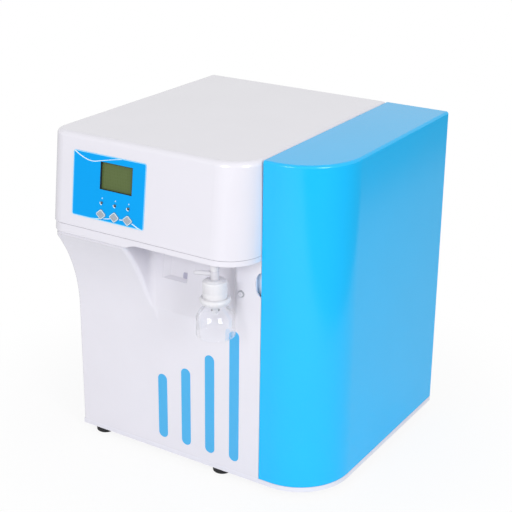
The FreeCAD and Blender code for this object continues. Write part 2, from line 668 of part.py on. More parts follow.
def make_front_panel():
    wall = SIZE["shell_wall"]
    top = SIZE["hood_bottom"] - SIZE["seam_gap"]
    back = SIZE["panel_depth"]
    shell = front_profile(0, top, back).extrude(Vector(SIZE["white_width"], 0, 0))
    corner = [
        e
        for e in shell.Edges
        if e.BoundBox.XMax < 0.01 and e.BoundBox.YMax < back / 2 and e.BoundBox.ZLength > back
    ]
    soft = [e for e in corner if e.BoundBox.ZMax < SIZE["lip_left"] + 1]
    shell = shell.makeFillet(SIZE["front_radius"], soft)
    shell = shell.common(behind_lip(0))
    lip = tower(hood_outline(0, back), SIZE["lip_left"], top)
    under = [e for e in lip.Edges if e.BoundBox.ZMax < SIZE["lip_left"] + 0.01 and e.BoundBox.YMin < back - 1]
    side = SIZE["white_width"] - 0.01
    soft = [e for e in under if e.BoundBox.XMax < side or e.BoundBox.XLength > 1]
    lip = lip.makeFillet(SIZE["lip_edge_radius"], soft)
    hollow = front_profile(wall, SIZE["lip_right"] + wall, back + wall)
    hollow = hollow.extrude(Vector(SIZE["white_width"], 0, 0))
    hollow.translate(Vector(wall, 0, 0))
    room = tower(hood_outline(wall, back + wall), wall, SIZE["lip_right"] + wall)
    below = block(wall, 0, wall, 2 * SIZE["white_width"], back + wall, SIZE["lip_left"] - wall)
    hollow = hollow.common(room.fuse(below.common(behind_lip(wall))))
    outside = soften(shell.cut(alcove(0))).fuse(lip.cut(alcove(0)))
    panel = outside.cut(hollow.cut(alcove(wall))).removeSplitter()
    screw = Vector(SIZE["panel_screw_x"], 0, SIZE["panel_screw_z"])
    start = screw + Vector(0, face_y(screw.z) + wall / 2, 0)
    backward = Vector(0, 1, 0)
    panel = panel.fuse(Part.makeCylinder(SIZE["panel_screw_head"], back - start.y, start, backward))
    shank = Part.makeCylinder(SIZE["panel_screw_shank"], 2 * back, screw - backward * back, backward)
    pipe_foot = Vector(SIZE["outlet_x"], -SIZE["outlet_reach"], SIZE["pipe_shoulder"])
    outlet = Part.makeCylinder(SIZE["pipe_radius"], SIZE["lip_right"], pipe_foot)
    notch = Part.Ellipse(Vector(), SIZE["notch_height"] / 2, SIZE["notch_reach"]).toShape()
    notch = Part.Face(Part.Wire(notch)).extrude(Vector(0, 0, 2 * back))
    notch.Placement = Placement(
        Vector(SIZE["white_width"], back, SIZE["notch_middle"]),
        Rotation(Vector(0, 0, 1), Vector(0, -1, 0)).multiply(Rotation(Vector(0, 0, 1), 90)),
    )
    panel = panel.cut([shank, outlet, notch, niche_block(0)] + stripe_shapes(SIZE["stripe_seat"], wall))
    return coded("front_panel", panel)


def niche_block(wall):
    """The sensor niche's hollow, or its outside when given a wall."""
    left = SIZE["niche_left"] - wall
    right = left + SIZE["niche_width"] + 2 * wall
    low = SIZE["niche_bottom"] - wall
    deep = face_y(SIZE["lip_right"]) + SIZE["alcove_depth"] + SIZE["niche_depth"] + wall
    return block(left, face_y(low) - SIZE["alcove_depth"], low, right, deep, SIZE["lip_right"])


def make_alcove_fittings():
    """What the alcove holds besides the dispenser: stripes, sensor niche and fixing screw."""
    seat = SIZE["stripe_seat"]
    coded("front_stripes", Part.makeCompound(stripe_shapes(seat, SIZE["stripe_thickness"] - seat)))
    wall = SIZE["shell_wall"]
    hollow = niche_block(0).common(alcove(SIZE["niche_depth"]))
    coded("sensor_niche", niche_block(wall / 2).cut(alcove(wall)).cut(hollow))
    under_head = "face_lean * (panel_screw_z - panel_screw_head) / cabinet_height"
    front = f"{under_head} - panel_screw_shank"
    head = cylinder("panel_screw_x", front, "panel_screw_z", "panel_screw_head", "panel_screw_shank", "y")
    reach = f"panel_depth + 2 * sheet_metal - {under_head}"
    shank = cylinder("panel_screw_x", under_head, "panel_screw_z", "panel_screw_shank", reach, "y")
    node(fuse(head, shank), "panel_screw")


# ---------------------------------------------------------------- top shell

def on_hood(x, depth, up):
    """Placement expressions for a point of the control panel's leaning frame."""
    return (
        f"overlay_left + {x}",
        f"-hood_reach + (overlay_bottom - hood_bottom) * tan(hood_lean * 1deg)"
        f" + ({depth}) * cos(hood_lean * 1deg) + ({up}) * sin(hood_lean * 1deg)",
        f"overlay_bottom - ({depth}) * sin(hood_lean * 1deg) + ({up}) * cos(hood_lean * 1deg)",
    )


def lean(thing, angle, x, depth, up):
    """Turn a thing about the x direction and put it at a point of the leaning frame."""
    place(thing, *on_hood(x, depth, up))
    thing.Placement.Rotation = Rotation(Vector(1, 0, 0), 45)
    for axis, share in (("x", 1), ("y", 0), ("z", 0)):
        thing.setExpression(f"Placement.Rotation.Axis.{axis}", str(share))
    return bind(thing, Placement__Rotation__Angle=angle)


def hood_box(x, depth, up, length, width, height):
    plate = bind(doc.addObject("Part::Box", "Plate"), Length=length, Width=width, Height=height)
    return lean(plate, "-hood_lean", x, depth, up)


def hood_rod(x, depth, up, radius, length):
    """A cylinder along the leaning frame's outward normal, starting at a depth."""
    rod = bind(doc.addObject("Part::Cylinder", "Rod"), Radius=radius, Height=length)
    return lean(rod, "90 - hood_lean", x, depth, up)


def button_x(i):
    return f"button_first + {i} * button_pitch"


def diamond(i, depth, margin, thickness):
    """Outline of a button, a round-cornered diamond standing on its point, as a slab."""
    plate = lean(doc.addObject("PartDesign::Body", "Diamond"), "-hood_lean", button_x(i), depth, "button_up")
    drawing = sketch(plate, "XZ_Plane")
    half, rise = f"(button_half + {margin})", f"(button_rise + {margin})"
    polygon(drawing, (half, 0), (0, rise), (f"-{half}", 0), (0, f"-{rise}"))
    prism = pad(plate, drawing, thickness, True)
    doc.recompute()
    rounding = plate.newObject("PartDesign::Fillet", "Points")
    upright = [f"Edge{i}" for i, e in enumerate(prism.Shape.Edges, start=1) if e.BoundBox.XLength < 0.01]
    rounding.Base = (prism, upright)
    bind(rounding, Radius="button_corner")
    return plate


def panel_holes():
    """What the window, the buttons and the lamps take out of the hood's face and its overlay."""
    depth = "3 * shell_wall"
    holes = [hood_box("window_left", "-shell_wall", "window_bottom", "window_width", depth, "window_height")]
    for i in range(3):
        holes.append(diamond(i, "-shell_wall", "button_gap", depth))
        holes.append(hood_rod(button_x(i), "2 * shell_wall", "lamp_up", "lamp_radius", depth))
    return holes


def make_top_shell():
    wall = SIZE["shell_wall"]
    low, high, depth = SIZE["hood_bottom"], SIZE["cabinet_height"], SIZE["body_depth"]
    shell = tower(hood_outline(0, depth), low, high)
    rim = [e for e in shell.Edges if e.BoundBox.ZMin > high - 0.01 and e.BoundBox.YMin < depth - 1]
    soft = [e for e in rim if e.BoundBox.XMin < SIZE["white_width"] - 1]
    shell = shell.makeFillet(SIZE["hood_edge_radius"], soft)
    shell = shell.cut(tower(hood_outline(wall, depth + wall), low - wall, high - wall))
    skirt_end = depth - SIZE["sheet_metal"]
    shell = shell.cut(block(-depth, skirt_end, low - wall, SIZE["cabinet_width"], depth + wall, high - wall))
    cover = doc.addObject("Part::Feature", "Cover")
    cover.Shape = shell
    place(cover)
    node(cut(cover, *panel_holes()), "top_shell")


# ---------------------------------------------------------------- control panel

def make_control_panel():
    overlay = hood_box(0, "-overlay_thickness", 0, "overlay_width", "overlay_thickness", "overlay_height")
    rounded = doc.addObject("Part::Fillet", "RoundedOverlay")
    rounded.Base = overlay
    doc.recompute()
    thick, corner = SIZE["overlay_thickness"], SIZE["overlay_corner"]
    edges = [i for i, e in enumerate(overlay.Shape.Edges, start=1) if abs(e.Length - thick) < 0.01]
    rounded.Edges = [(i, corner, corner) for i in edges]
    node(cut(rounded, *panel_holes()), "control_overlay")

    behind = "board_depth - shell_wall"
    margin = "2 * overlay_corner"
    wide, tall = f"window_width + 2 * {margin}", f"window_height + 2 * {margin}"
    corner = (f"window_left - {margin}", "shell_wall", f"window_bottom - {margin}")
    node(hood_box(*corner, wide, behind, tall), "lcd_module")
    node(hood_box(0, "board_depth", 0, "overlay_width", "board_thickness", "overlay_height"), "display_board")
    contacts = []
    lamps = []
    size = "2 * button_corner"
    for i in range(3):
        left, low = f"{button_x(i)} - button_corner", "button_up - button_corner"
        ahead = "overlay_thickness + button_proud"
        cap = diamond(i, f"-({ahead})", 0, f"{ahead} + shell_wall")
        reach = f"{behind} - 2 * button_travel - running_clearance"
        stem = hood_box(left, "shell_wall", low, size, reach, size)
        node(fuse(cap, stem), f"button_{i + 1}")
        contacts.append(hood_box(left, "board_depth - button_travel", low, size, "button_travel", size))
        length = "board_depth + overlay_thickness + button_proud / 2"
        lamps.append(hood_rod(button_x(i), "board_depth", "lamp_up", "lamp_radius", length))
    node(fuse(*contacts), "button_contacts")
    node(fuse(*lamps), "indicator_lamps")


def display_pillars():
    """Square pillars between the hood's face and the display board."""
    size = "2 * overlay_corner"
    return [
        hood_box(x, "shell_wall", up, size, "board_depth - shell_wall", size)
        for x in ("overlay_corner", "overlay_width - 3 * overlay_corner")
        for up in ("overlay_corner", "overlay_height - 3 * overlay_corner")
    ]


# ---------------------------------------------------------------- side door and its hinge

def hinge_axis():
    return SIZE["cabinet_width"] - SIZE["hinge_inset"], SIZE["body_depth"] - SIZE["hinge_inset"]


def make_side_door():
    """One moulding: top strip, rounded front, side and a narrow rear return, with hinge lugs inside."""
    wall, width, depth = SIZE["shell_wall"], SIZE["cabinet_width"], SIZE["body_depth"]
    low, high = SIZE["rim_height"] + SIZE["seam_gap"], SIZE["cabinet_height"]
    seam = SIZE["white_width"] + SIZE["seam_gap"]
    shell = tower(cabinet_outline(0, seam, depth), low, high)
    rim = [e for e in shell.Edges if e.BoundBox.ZMin > high - 0.01 and e.BoundBox.XMax > seam + 0.01]
    soft = [e for e in rim if e.BoundBox.YMin < depth - 1]
    shell = shell.makeFillet(SIZE["door_edge_radius"], soft)
    shell = shell.cut(tower(cabinet_outline(wall, seam - wall, depth - wall), 0, high - wall))
    opening = width - SIZE["door_return"]
    shell = shell.cut(block(seam - wall, depth - 2 * wall, 0, opening, depth + wall, high - wall))
    top = SIZE["return_top"]
    shell = shell.cut(block(opening - wall, depth - wall, top, width - wall, depth + wall, high - wall))
    x, y = hinge_axis()
    reach = SIZE["hinge_inset"] - SIZE["seam_gap"]
    lug = SIZE["lug_thickness"]
    into_wall = SIZE["hinge_inset"] - wall / 2
    for bottom in (low, SIZE["lug_top"] - lug):
        shell = shell.fuse(block(x - reach, y - reach, bottom, x + into_wall, y + into_wall, bottom + lug))
    bore = SIZE["hinge_pin_radius"] + SIZE["running_clearance"]
    shell = shell.cut(Part.makeCylinder(bore, high - 2 * wall, Vector(x, y, 0)))
    base = SIZE["notch_middle"] - SIZE["tongue_height"] / 2
    top = base + SIZE["tongue_height"]
    right = seam + SIZE["tongue_thickness"]
    front = SIZE["tongue_depth"]
    back = front + SIZE["tongue_thickness"]
    tongue = block(SIZE["white_width"] - SIZE["tongue_reach"], front, base, right, back, top)
    web = block(seam, face_y(base) + wall / 2, base, right, back, top)
    shell = shell.fuse([tongue, web])
    return coded("side_door", shell.removeSplitter())


def make_hinge():
    """The lower pin stands in a boss of the base pan; the upper one hangs in a bracket."""
    x, y = HINGE
    level = "(lug_top + seam_gap)"
    reach = "rim_height + seam_gap + lug_thickness - pan_floor"
    low = cylinder(x, y, "pan_floor", "hinge_pin_radius", reach)
    reach = "lug_thickness + seam_gap + bracket_thickness"
    high = cylinder(x, y, "lug_top - lug_thickness", "hinge_pin_radius", reach)
    node(fuse(low, high), "hinge_pins")

    eye = cylinder(x, y, level, "hinge_inset - shell_wall - 3 * running_clearance", "bracket_thickness")
    arm = doc.addObject("Part::Box", "Arm")
    bind(arm, Length="2 * hinge_pin_radius", Width="4 * hinge_inset", Height="bracket_thickness")
    arm.Placement.Rotation = Rotation(Vector(0, 0, 1), 135)
    aside = "hinge_pin_radius * sqrt(0.5)"
    place(arm, f"{x} + {aside}", f"{y} - {aside}", level)
    left, width, thick = "cabinet_width - 3 * door_return", "1.6 * door_return", "bracket_thickness"
    leaf = box(left, "body_depth - 2 * door_return", level, width, "2 * door_return - sheet_metal", thick)
    drop = "2 * hinge_inset"
    foot = box(left, f"{REAR_INSIDE} - {thick}", f"{level} - {drop}", width, thick, drop)
    hole = cylinder(x, y, level, "hinge_pin_radius", "bracket_thickness")
    node(cut(fuse(eye, arm, leaf, foot), hole), "upper_hinge_bracket")


def make_door_catch():
    """Two magnets on the partition's arm hold a steel strike plate inside the door's front edge."""
    wall = SIZE["shell_wall"]
    low = SIZE["overhang_start"] - SIZE["catch_height"] / 2
    high = low + SIZE["catch_height"]
    back = face_y(high) + wall + SIZE["sheet_metal"]
    profile = [(face_y(low) + wall, low), (back, low), (back, high), (face_y(high) + wall, high)]
    coded("strike_plate", along_x(profile, SIZE["white_width"] + SIZE["seam_gap"], SIZE["catch_width"]))
    strike = "(face_lean * (overhang_start + catch_height / 2) / cabinet_height + shell_wall + sheet_metal)"
    x = "white_width + seam_gap + catch_width / 2"
    start = f"({strike} + seam_gap)"
    length = f"panel_depth - hinge_inset - {start}"
    spread = "catch_height / 4"
    magnets = [
        cylinder(x, start, f"overhang_start {side} {spread}", "magnet_radius", length, "y") for side in "+-"
    ]
    node(fuse(*magnets), "catch_magnets")


# ---------------------------------------------------------------- chassis and panels

def make_partition():
    """Folded sheet between the wet side and the cartridges, with the arm for the door catch."""
    plate = body("PartitionSheet")
    drawing = sketch(plate, "XY_Plane", "pan_floor")
    polygon(
        drawing,
        (PARTITION_RIGHT, "panel_depth"),
        (PARTITION_RIGHT, REAR_INSIDE),
        (f"{PARTITION_LEFT} - door_return", REAR_INSIDE),
        (f"{PARTITION_LEFT} - door_return", f"{REAR_INSIDE} - sheet_metal"),
        (PARTITION_LEFT, f"{REAR_INSIDE} - sheet_metal"),
        (PARTITION_LEFT, "panel_depth + sheet_metal"),
        ("panel_screw_x - door_return", "panel_depth + sheet_metal"),
        ("panel_screw_x - door_return", "panel_depth"),
    )
    pad(plate, drawing, "cabinet_height - shell_wall - pan_floor")
    arm = box(
        PARTITION_RIGHT, "panel_depth - hinge_inset", "overhang_start - catch_height / 2",
        "catch_width + shell_wall", "2 * hinge_inset", "catch_height",
    )
    tube = cylinder(PARTITION_LEFT, "feed_y", MANIFOLD_MIDDLE, "tube_radius", "sheet_metal", "x")
    screw = cylinder("panel_screw_x", "panel_depth", "panel_screw_z", "panel_screw_shank", "sheet_metal", "y")
    node(cut(fuse(plate, arm), tube, screw), "partition")


def make_bulkhead():
    plate = box(
        "sheet_metal", "wet_wall", "pan_floor",
        f"{PARTITION_LEFT} - sheet_metal", "sheet_metal", "hood_bottom - door_return - pan_floor",
    )
    room = "2 * tube_radius"
    window = box(
        f"{valve_x(0)} - {room}", "wet_wall", f"tube_level - {room}",
        f"port_pitch + 2 * {room}", "sheet_metal", f"2 * {room}",
    )
    node(cut(plate, window), "bulkhead")


def make_outer_panels():
    height = "hood_bottom - seam_gap - rim_height"
    depth = f"{REAR_INSIDE} - panel_depth"
    node(box(0, "panel_depth", "rim_height", "sheet_metal", depth, height), "left_side_panel")

    rear = body("RearPanel")
    drawing = sketch(rear, "XZ_Plane", "-body_depth")
    right = "cabinet_width - door_return - shell_wall"
    rectangle(drawing, 0, "rim_height", right, "cabinet_height - shell_wall - 5 * running_clearance")
    blank = pad(rear, drawing, "sheet_metal")
    doc.recompute()
    edges = [
        f"Edge{i}"
        for i, e in enumerate(blank.Shape.Edges, start=1)
        if e.BoundBox.XMax < 0.01 and e.BoundBox.ZMin > SIZE["hood_bottom"] and e.BoundBox.YLength > 0.1
    ]
    rounding = rear.newObject("PartDesign::Fillet", "TopCorner")
    rounding.Base = (blank, edges)
    bind(rounding, Radius="hood_edge_radius")
    doc.recompute()
    openings = sketch(rear, "XZ_Plane", "-body_depth")
    circle(openings, "fan_x", "fan_up", "fan_bore")
    half = "inlet_width / 2"
    low = "inlet_up - inlet_height / 2 - fuse_height"
    rectangle(openings, f"inlet_x - {half}", low, f"inlet_x + {half}", "inlet_up + inlet_height / 2")
    half, rise = "switch_width / 2", "switch_height / 2"
    low, high = f"switch_up - {rise}", f"switch_up + {rise}"
    rectangle(openings, f"inlet_x - {half}", low, f"inlet_x + {half}", high)
    for i in range(2):
        circle(openings, port_x(i), "port_up", "port_radius")
    pocket(rear, openings, "sheet_metal", True)
    slot = sketch(rear, "XZ_Plane", "-body_depth")
    left, low = "fan_x + fan_size", "fan_up - fan_bore"
    rectangle(slot, left, low, f"{left} + fan_size", f"{low} + shell_wall")
    first = pocket(rear, slot, "sheet_metal", True)
    rows = rear.newObject("PartDesign::LinearPattern", "VentRows")
    rows.Originals = [first]
    rows.Direction = (slot, ["V_Axis"])
    rows.Occurrences = 8
    bind(rows, Length="2 * fan_bore - shell_wall")
    rear.Tip = rows
    node(rear, "rear_panel")


# ---------------------------------------------------------------- dispenser

def make_dispenser():
    foot = "(pipe_shoulder - barb_length)"
    pipe = cylinder(*OUTLET, "pipe_shoulder", "pipe_radius", "pipe_top - pipe_shoulder")
    barb = cylinder(*OUTLET, foot, "core_radius", "barb_length")
    bore = cylinder(*OUTLET, foot, "pipe_bore", f"pipe_top - {foot}")
    node(cut(fuse(pipe, barb), bore), "outlet_pipe")

    clear = 5 * SIZE["running_clearance"]
    x, y = SIZE["outlet_x"], -SIZE["outlet_reach"]
    thick = SIZE["lever_thickness"] / 2
    low, high = SIZE["capsule_top"] + clear, SIZE["pipe_shoulder"] - SIZE["running_clearance"]
    angle = math.radians(180 + SIZE["lever_angle"])
    out = Vector(math.cos(angle), math.sin(angle), 0)
    axis = Vector(x, y, SIZE["lever_up"])
    reach = SIZE["lever_length"] - thick
    arm = Part.makeCylinder(thick, reach, axis, out).fuse(Part.makeSphere(thick, axis + out * reach))
    lever = Part.makeCylinder(SIZE["pipe_radius"], high - low, Vector(x, y, low)).fuse(arm)
    bore = SIZE["core_radius"] + SIZE["running_clearance"]
    coded("tap_lever", lever.cut(Part.makeCylinder(bore, 2 * high, Vector(x, y, 0))))

    tip = "(ring_bottom - nozzle_length)"
    shell = fuse(
        cylinder(*OUTLET, "ring_bottom", "capsule_radius", "capsule_top - ring_bottom"),
        cone(*OUTLET, tip, "nozzle_radius", "bell_neck - bell_wall", "nozzle_length"),
        cylinder(*OUTLET, f"{tip} - nozzle_length", "core_radius", "nozzle_length"),
    )
    socket = cylinder(*OUTLET, "ring_bottom", "core_radius + running_clearance", "capsule_top - ring_bottom")
    way = cylinder(*OUTLET, f"{tip} - nozzle_length", "pipe_bore", "2 * nozzle_length")
    node(cut(shell, socket, way), "filter_capsule")
    height = "ring_top - ring_bottom"
    ring = cylinder(*OUTLET, "ring_bottom", "ring_radius", height)
    node(cut(ring, cylinder(*OUTLET, "ring_bottom", "capsule_radius", height)), "capsule_ring")


def make_filling_bell():
    """Thin open bell: flat neck ring, domed shoulder, straight skirt and a thinned rim."""
    neck, full, wall = SIZE["bell_neck"], SIZE["bell_radius"], SIZE["bell_wall"]
    top, shoulder, rim = SIZE["ring_bottom"], SIZE["bell_shoulder"], SIZE["bell_rim"]
    axis = Vector(SIZE["outlet_x"], -SIZE["outlet_reach"], 0)

    def at(radius, z):
        return axis + Vector(radius, 0, z)

    def line(*points):
        return [Part.LineSegment(p, q).toShape() for p, q in zip(points, points[1:])]

    def dome(inset):
        oval = Part.Ellipse(at(neck, top - inset), at(full - inset, shoulder), at(neck, shoulder))
        return Part.ArcOfEllipse(oval, 0, math.pi / 2).toShape()

    bend = rim + 3 * wall
    inside = full - wall
    edges = line(at(neck, top - wall), at(neck - wall, top - wall), at(neck - wall, top), at(neck, top))
    edges += [dome(0)]
    edges += line(at(full, shoulder), at(full, bend), at(full - wall / 2, rim), at(inside - wall / 2, rim))
    edges += line(at(inside - wall / 2, rim), at(inside, bend), at(inside, shoulder))
    edges += [dome(wall)]
    profile = Part.Face(Part.Wire(Part.__sortEdges__(edges)))
    coded("filling_bell", profile.revolve(axis, Vector(0, 0, 1), 360))


# ---------------------------------------------------------------- cartridges behind the door

def make_cartridges():
    """Cartridges hang by their necks in a manifold and lean on clips of the partition."""
    count = 3
    top = "(cartridge_bottom + cartridge_length)"
    seat = f"({top} + 5 * running_clearance)"
    chamfer = "0.3 * cartridge_radius"
    straight = f"cartridge_length - 2 * {chamfer}"
    bores = []
    clips = []
    for i in range(count):
        axis = ("cartridge_x", f"(cartridge_first + {i} * cartridge_pitch)")
        barrel = fuse(
            cone(*axis, "cartridge_bottom", "0.8 * cartridge_radius", "cartridge_radius", chamfer),
            cylinder(*axis, f"cartridge_bottom + {chamfer}", "cartridge_radius", straight),
            cone(*axis, f"{top} - {chamfer}", "cartridge_radius", "0.8 * cartridge_radius", chamfer),
            cylinder(*axis, top, "neck_radius", "neck_length"),
        )
        node(barrel, f"cartridge_{i + 1}")
        bores.append(cylinder(*axis, seat, "neck_radius + running_clearance", "neck_length"))
        side = "0.6 * cartridge_radius"
        saddle = box(
            PARTITION_RIGHT, f"{axis[1]} - {side}", "cartridge_bottom + cartridge_length / 3",
            f"cartridge_x - {PARTITION_RIGHT}", f"2 * {side}", "cartridge_radius / 2",
        )
        radius = "cartridge_radius + 5 * running_clearance"
        clips.append(cut(saddle, cylinder(*axis, "cartridge_bottom", radius, "cartridge_length")))
    start = "cartridge_first - cartridge_radius"
    length = f"{count - 1} * cartridge_pitch + 2 * cartridge_radius"
    head = box(PARTITION_RIGHT, start, seat, "manifold_width", length, "manifold_height")
    node(cut(head, *bores), "filter_manifold")
    node(fuse(*clips), "cartridge_clips")


# ---------------------------------------------------------------- rear connections

def port_x(i):
    return f"(port_first + {i} * port_pitch)"


def make_ports():
    """Push-fit ports through the rear panel, each with a collet that lets the tube go."""
    ports = []
    inner, start = "(body_depth - port_reach)", "(body_depth + port_reach / 2)"
    end = f"{start} + port_reach / 2 + collet_reach - collet_travel"
    way, slide = "(tube_radius + running_clearance)", "collet_radius + running_clearance"
    for i in range(2):
        x, up = port_x(i), "port_up"
        barrel = cylinder(x, inner, up, "port_radius", "2 * port_reach", "y")
        flange = cylinder(x, "body_depth", up, "port_radius + 2 * pan_floor", "pan_floor", "y")
        bore = cylinder(x, inner, up, way, "2 * port_reach", "y")
        seat = cylinder(x, f"{start} - 2 * collet_travel", up, slide, "port_reach", "y")
        ports.append(cut(fuse(barrel, flange), bore, seat))
        sleeve = cylinder(x, start, up, "collet_radius", "port_reach / 2 + collet_reach", "y")
        rim = cylinder(x, end, up, "collet_radius + collet_travel", "collet_travel", "y")
        bore = cylinder(x, start, up, way, "port_reach", "y")
        node(cut(fuse(sleeve, rim), bore), f"port_collet_{i + 1}")
    node(fuse(*ports), "rear_ports")


def make_power_entry():
    """Power inlet with its fuse drawer below it, both let into the rear panel."""
    x, inner = "inlet_x", "(body_depth - inlet_depth)"
    low = "inlet_up - fuse_height / 2"
    tall = "(inlet_height + fuse_height)"
    housing = centred_box(x, f"{inner} - shell_wall", low, "inlet_width", "inlet_depth + shell_wall", tall)
    rim = ("inlet_width + 4 * shell_wall", "pan_floor", f"{tall} + shell_wall")
    mouth = ("inlet_width - shell_wall", "2 * inlet_depth", "inlet_height - shell_wall")
    socket = centred_box(x, inner, "inlet_up", *mouth)
    drawer_up = "inlet_up - inlet_height / 2 - fuse_height / 2"
    wide, high = "inlet_width - 2 * shell_wall", "fuse_height - shell_wall"
    pit = centred_box(x, inner, drawer_up, wide, "2 * inlet_depth", high)
    node(cut(fuse(housing, centred_box(x, "body_depth", low, *rim)), socket, pit), "power_inlet")
    blade = ("pan_floor", "inlet_depth - shell_wall", "2 * pan_floor")
    pins = [
        centred_box(f"{x} + {side} * inlet_width / 4", inner, f"inlet_up + {rise}", *blade)
        for side, rise in ((-1, "-shell_wall"), (0, "shell_wall"), (1, "-shell_wall"))
    ]
    node(fuse(*pins), "inlet_pins")
    gap = "2 * running_clearance"
    drawer = (f"{wide} - {gap}", "inlet_depth + pan_floor + shell_wall / 2", f"{high} - {gap}")
    front = centred_box(x, f"{inner} + running_clearance", drawer_up, *drawer)
    link = (x, f"{inner} + pan_floor", drawer_up, "fuse_height / 5", "inlet_depth - shell_wall", "y")
    node(cut(front, cylinder(*link)), "fuse_drawer")
    node(cylinder(*link), "fuse")


def make_switch():
    """Rocker switch above the inlet; at rest the rocker leans towards its lower side."""
    frame = ("switch_width + 2 * shell_wall", "pan_floor", "switch_height + 2 * shell_wall")
    bezel = centred_box("inlet_x", "body_depth", "switch_up", *frame)
    depth = "(inlet_depth + shell_wall)"
    inside = ("switch_width", depth, "switch_height")
    barrel = centred_box("inlet_x", f"body_depth - {depth}", "switch_up", *inside)
    hollow = ("switch_width - shell_wall", "inlet_depth", "switch_height - shell_wall / 2")
    well = centred_box("inlet_x", "body_depth - inlet_depth / 2 - shell_wall", "switch_up", *hollow)
    node(cut(fuse(bezel, barrel), well), "switch_housing")
    half, deep, clear = SIZE["rocker_half"], SIZE["rocker_depth"], 5 * SIZE["running_clearance"]
    profile = [(-deep / 2, -0.8 * half), (deep, -half), (deep / 2, 0), (deep, half), (-deep / 2, 0.8 * half)]
    width = SIZE["switch_width"] - SIZE["shell_wall"] - 2 * clear
    rocker = along_x(profile, SIZE["inlet_x"] - width / 2, width)
    rocker.rotate(Vector(), Vector(1, 0, 0), -SIZE["rocker_tilt"])
    rocker.translate(Vector(0, SIZE["body_depth"] - SIZE["shell_wall"], SIZE["switch_up"]))
    coded("power_rocker", rocker)


def make_fan():
    """Axial fan against the inside of the rear panel, its spokes on the inner side."""
    front = f"({REAR_INSIDE} - fan_depth)"
    spoke = "0.8 * shell_wall"
    hub = "0.4 * fan_bore"
    frame = centred_box("fan_x", front, "fan_up", "fan_size", "fan_depth", "fan_size")
    tunnel = cylinder("fan_x", front, "fan_up", "fan_bore", "fan_depth", "y")
    spokes = [
        centred_box("fan_x", front, "fan_up", "fan_size - shell_wall", spoke, "2 * shell_wall"),
        centred_box("fan_x", front, "fan_up", "2 * shell_wall", spoke, "fan_size - shell_wall"),
        cylinder("fan_x", front, "fan_up", hub, spoke, "y"),
    ]
    pin = cylinder("fan_x", front, "fan_up", "shell_wall + running_clearance", "fan_depth", "y")
    node(cut(fuse(cut(frame, tunnel), *spokes), pin), "fan_frame")

    backward = Vector(0, 1, 0)
    wall, deep, bore = SIZE["shell_wall"], SIZE["fan_depth"], SIZE["fan_bore"]
    centre = Vector(SIZE["fan_x"], SIZE["body_depth"] - SIZE["sheet_metal"] - deep, SIZE["fan_up"])
    start = centre + backward * wall
    rotor = Part.makeCylinder(0.4 * bore, 0.75 * deep, start, backward)
    rotor = rotor.fuse(Part.makeCylinder(wall, 2 * wall, centre, backward))
    chord, count = 0.7 * deep, 7
    blade = Part.makeBox(wall / 2, chord, 0.62 * bore, Vector(-wall / 4, -chord / 2, 0.35 * bore))
    blade.rotate(Vector(), Vector(0, 0, 1), 40)
    for i in range(count):
        vane = blade.copy()
        vane.rotate(Vector(), backward, i * 360 / count)
        vane.translate(start + backward * 0.37 * deep)
        rotor = rotor.fuse(vane)
    coded("fan_rotor", rotor)

    wire = SIZE["sheet_metal"] / 2
    rings = [Part.makeTorus(bore * share, wire, Vector(), backward) for share in (0.35, 0.68, 1.0)]
    reach = 1.1 * bore
    for angle in (45, -45):
        bar = Part.makeCylinder(wire, 2 * reach, Vector(0, 0, -reach))
        bar.rotate(Vector(), backward, angle)
        rings.append(bar)
    guard = rings[0].fuse(rings[1:])
    guard.translate(Vector(SIZE["fan_x"], SIZE["body_depth"] + wire, SIZE["fan_up"]))
    coded("fan_guard", guard)


# ---------------------------------------------------------------- water treatment and electrics inside

def make_vessels():
    """Upright pressure vessels, each held to the bulkhead by two saddles."""
    saddles = []
    collar = "housing_radius / 2"
    top = f"pan_floor + housing_length - {collar}"
    vessels = (
        ("membrane_housing", "housing_x", "housing_radius"),
        ("ultraviolet_reactor", "lamp_tube_x", "lamp_tube_radius"),
    )
    for label, x, radius in vessels:
        tube = cylinder(x, "housing_y", "pan_floor", radius, "housing_length")
        caps = [cylinder(x, "housing_y", z, f"{radius} + pan_floor", collar) for z in ("pan_floor", top)]
        node(fuse(tube, *caps), label)
        for share in (1, 3):
            low = f"pan_floor + housing_length * {share} / 4"
            arm = box(f"{x} - {radius} / 2", "housing_y", low, radius, "wet_wall - housing_y", collar)
            saddles.append(cut(arm, cylinder(x, "housing_y", "pan_floor", radius, "housing_length")))
    node(fuse(*saddles), "housing_saddles")


def make_pumps():
    start = "(panel_depth + door_return)"
    middle = "(pan_floor + shell_wall + pump_width / 2)"
    plates = []
    for i, label in enumerate(("booster_pump", "circulation_pump")):
        x = f"pump_first + {i} * pump_pitch"
        head = centred_box(x, start, middle, "pump_width", "0.75 * pump_width", "pump_width")
        motor = (x, f"{start} + 0.75 * pump_width", middle, "pump_motor_radius", "pump_width", "y")
        node(fuse(head, cylinder(*motor)), label)
        base = ("pump_width", "1.75 * pump_width", "shell_wall")
        plate = centred_box(x, start, "pan_floor + shell_wall / 2", *base)
        cradle = box(
            f"{x} - pump_motor_radius / 2", f"{start} + 1.2 * pump_width", "pan_floor",
            "pump_motor_radius", "pump_width / 3", "pump_width / 2",
        )
        plates.append(fuse(plate, cut(cradle, cylinder(*motor))))
    node(fuse(*plates), "pump_mounts")


def valve_x(i):
    return f"({port_x(i)} - valve_offset)"


def make_valves():
    valves = []
    depth = "housing_radius"
    for i in range(2):
        block_ = centred_box(valve_x(i), f"wet_wall - {depth}", "valve_up", "valve_size", depth, "valve_size")
        top = "valve_up + valve_size / 2"
        coil = cylinder(valve_x(i), f"wet_wall - {depth} / 2", top, "valve_size / 2", "1.2 * valve_size")
        valves.append(fuse(block_, coil))
    node(fuse(*valves), "solenoid_valves")


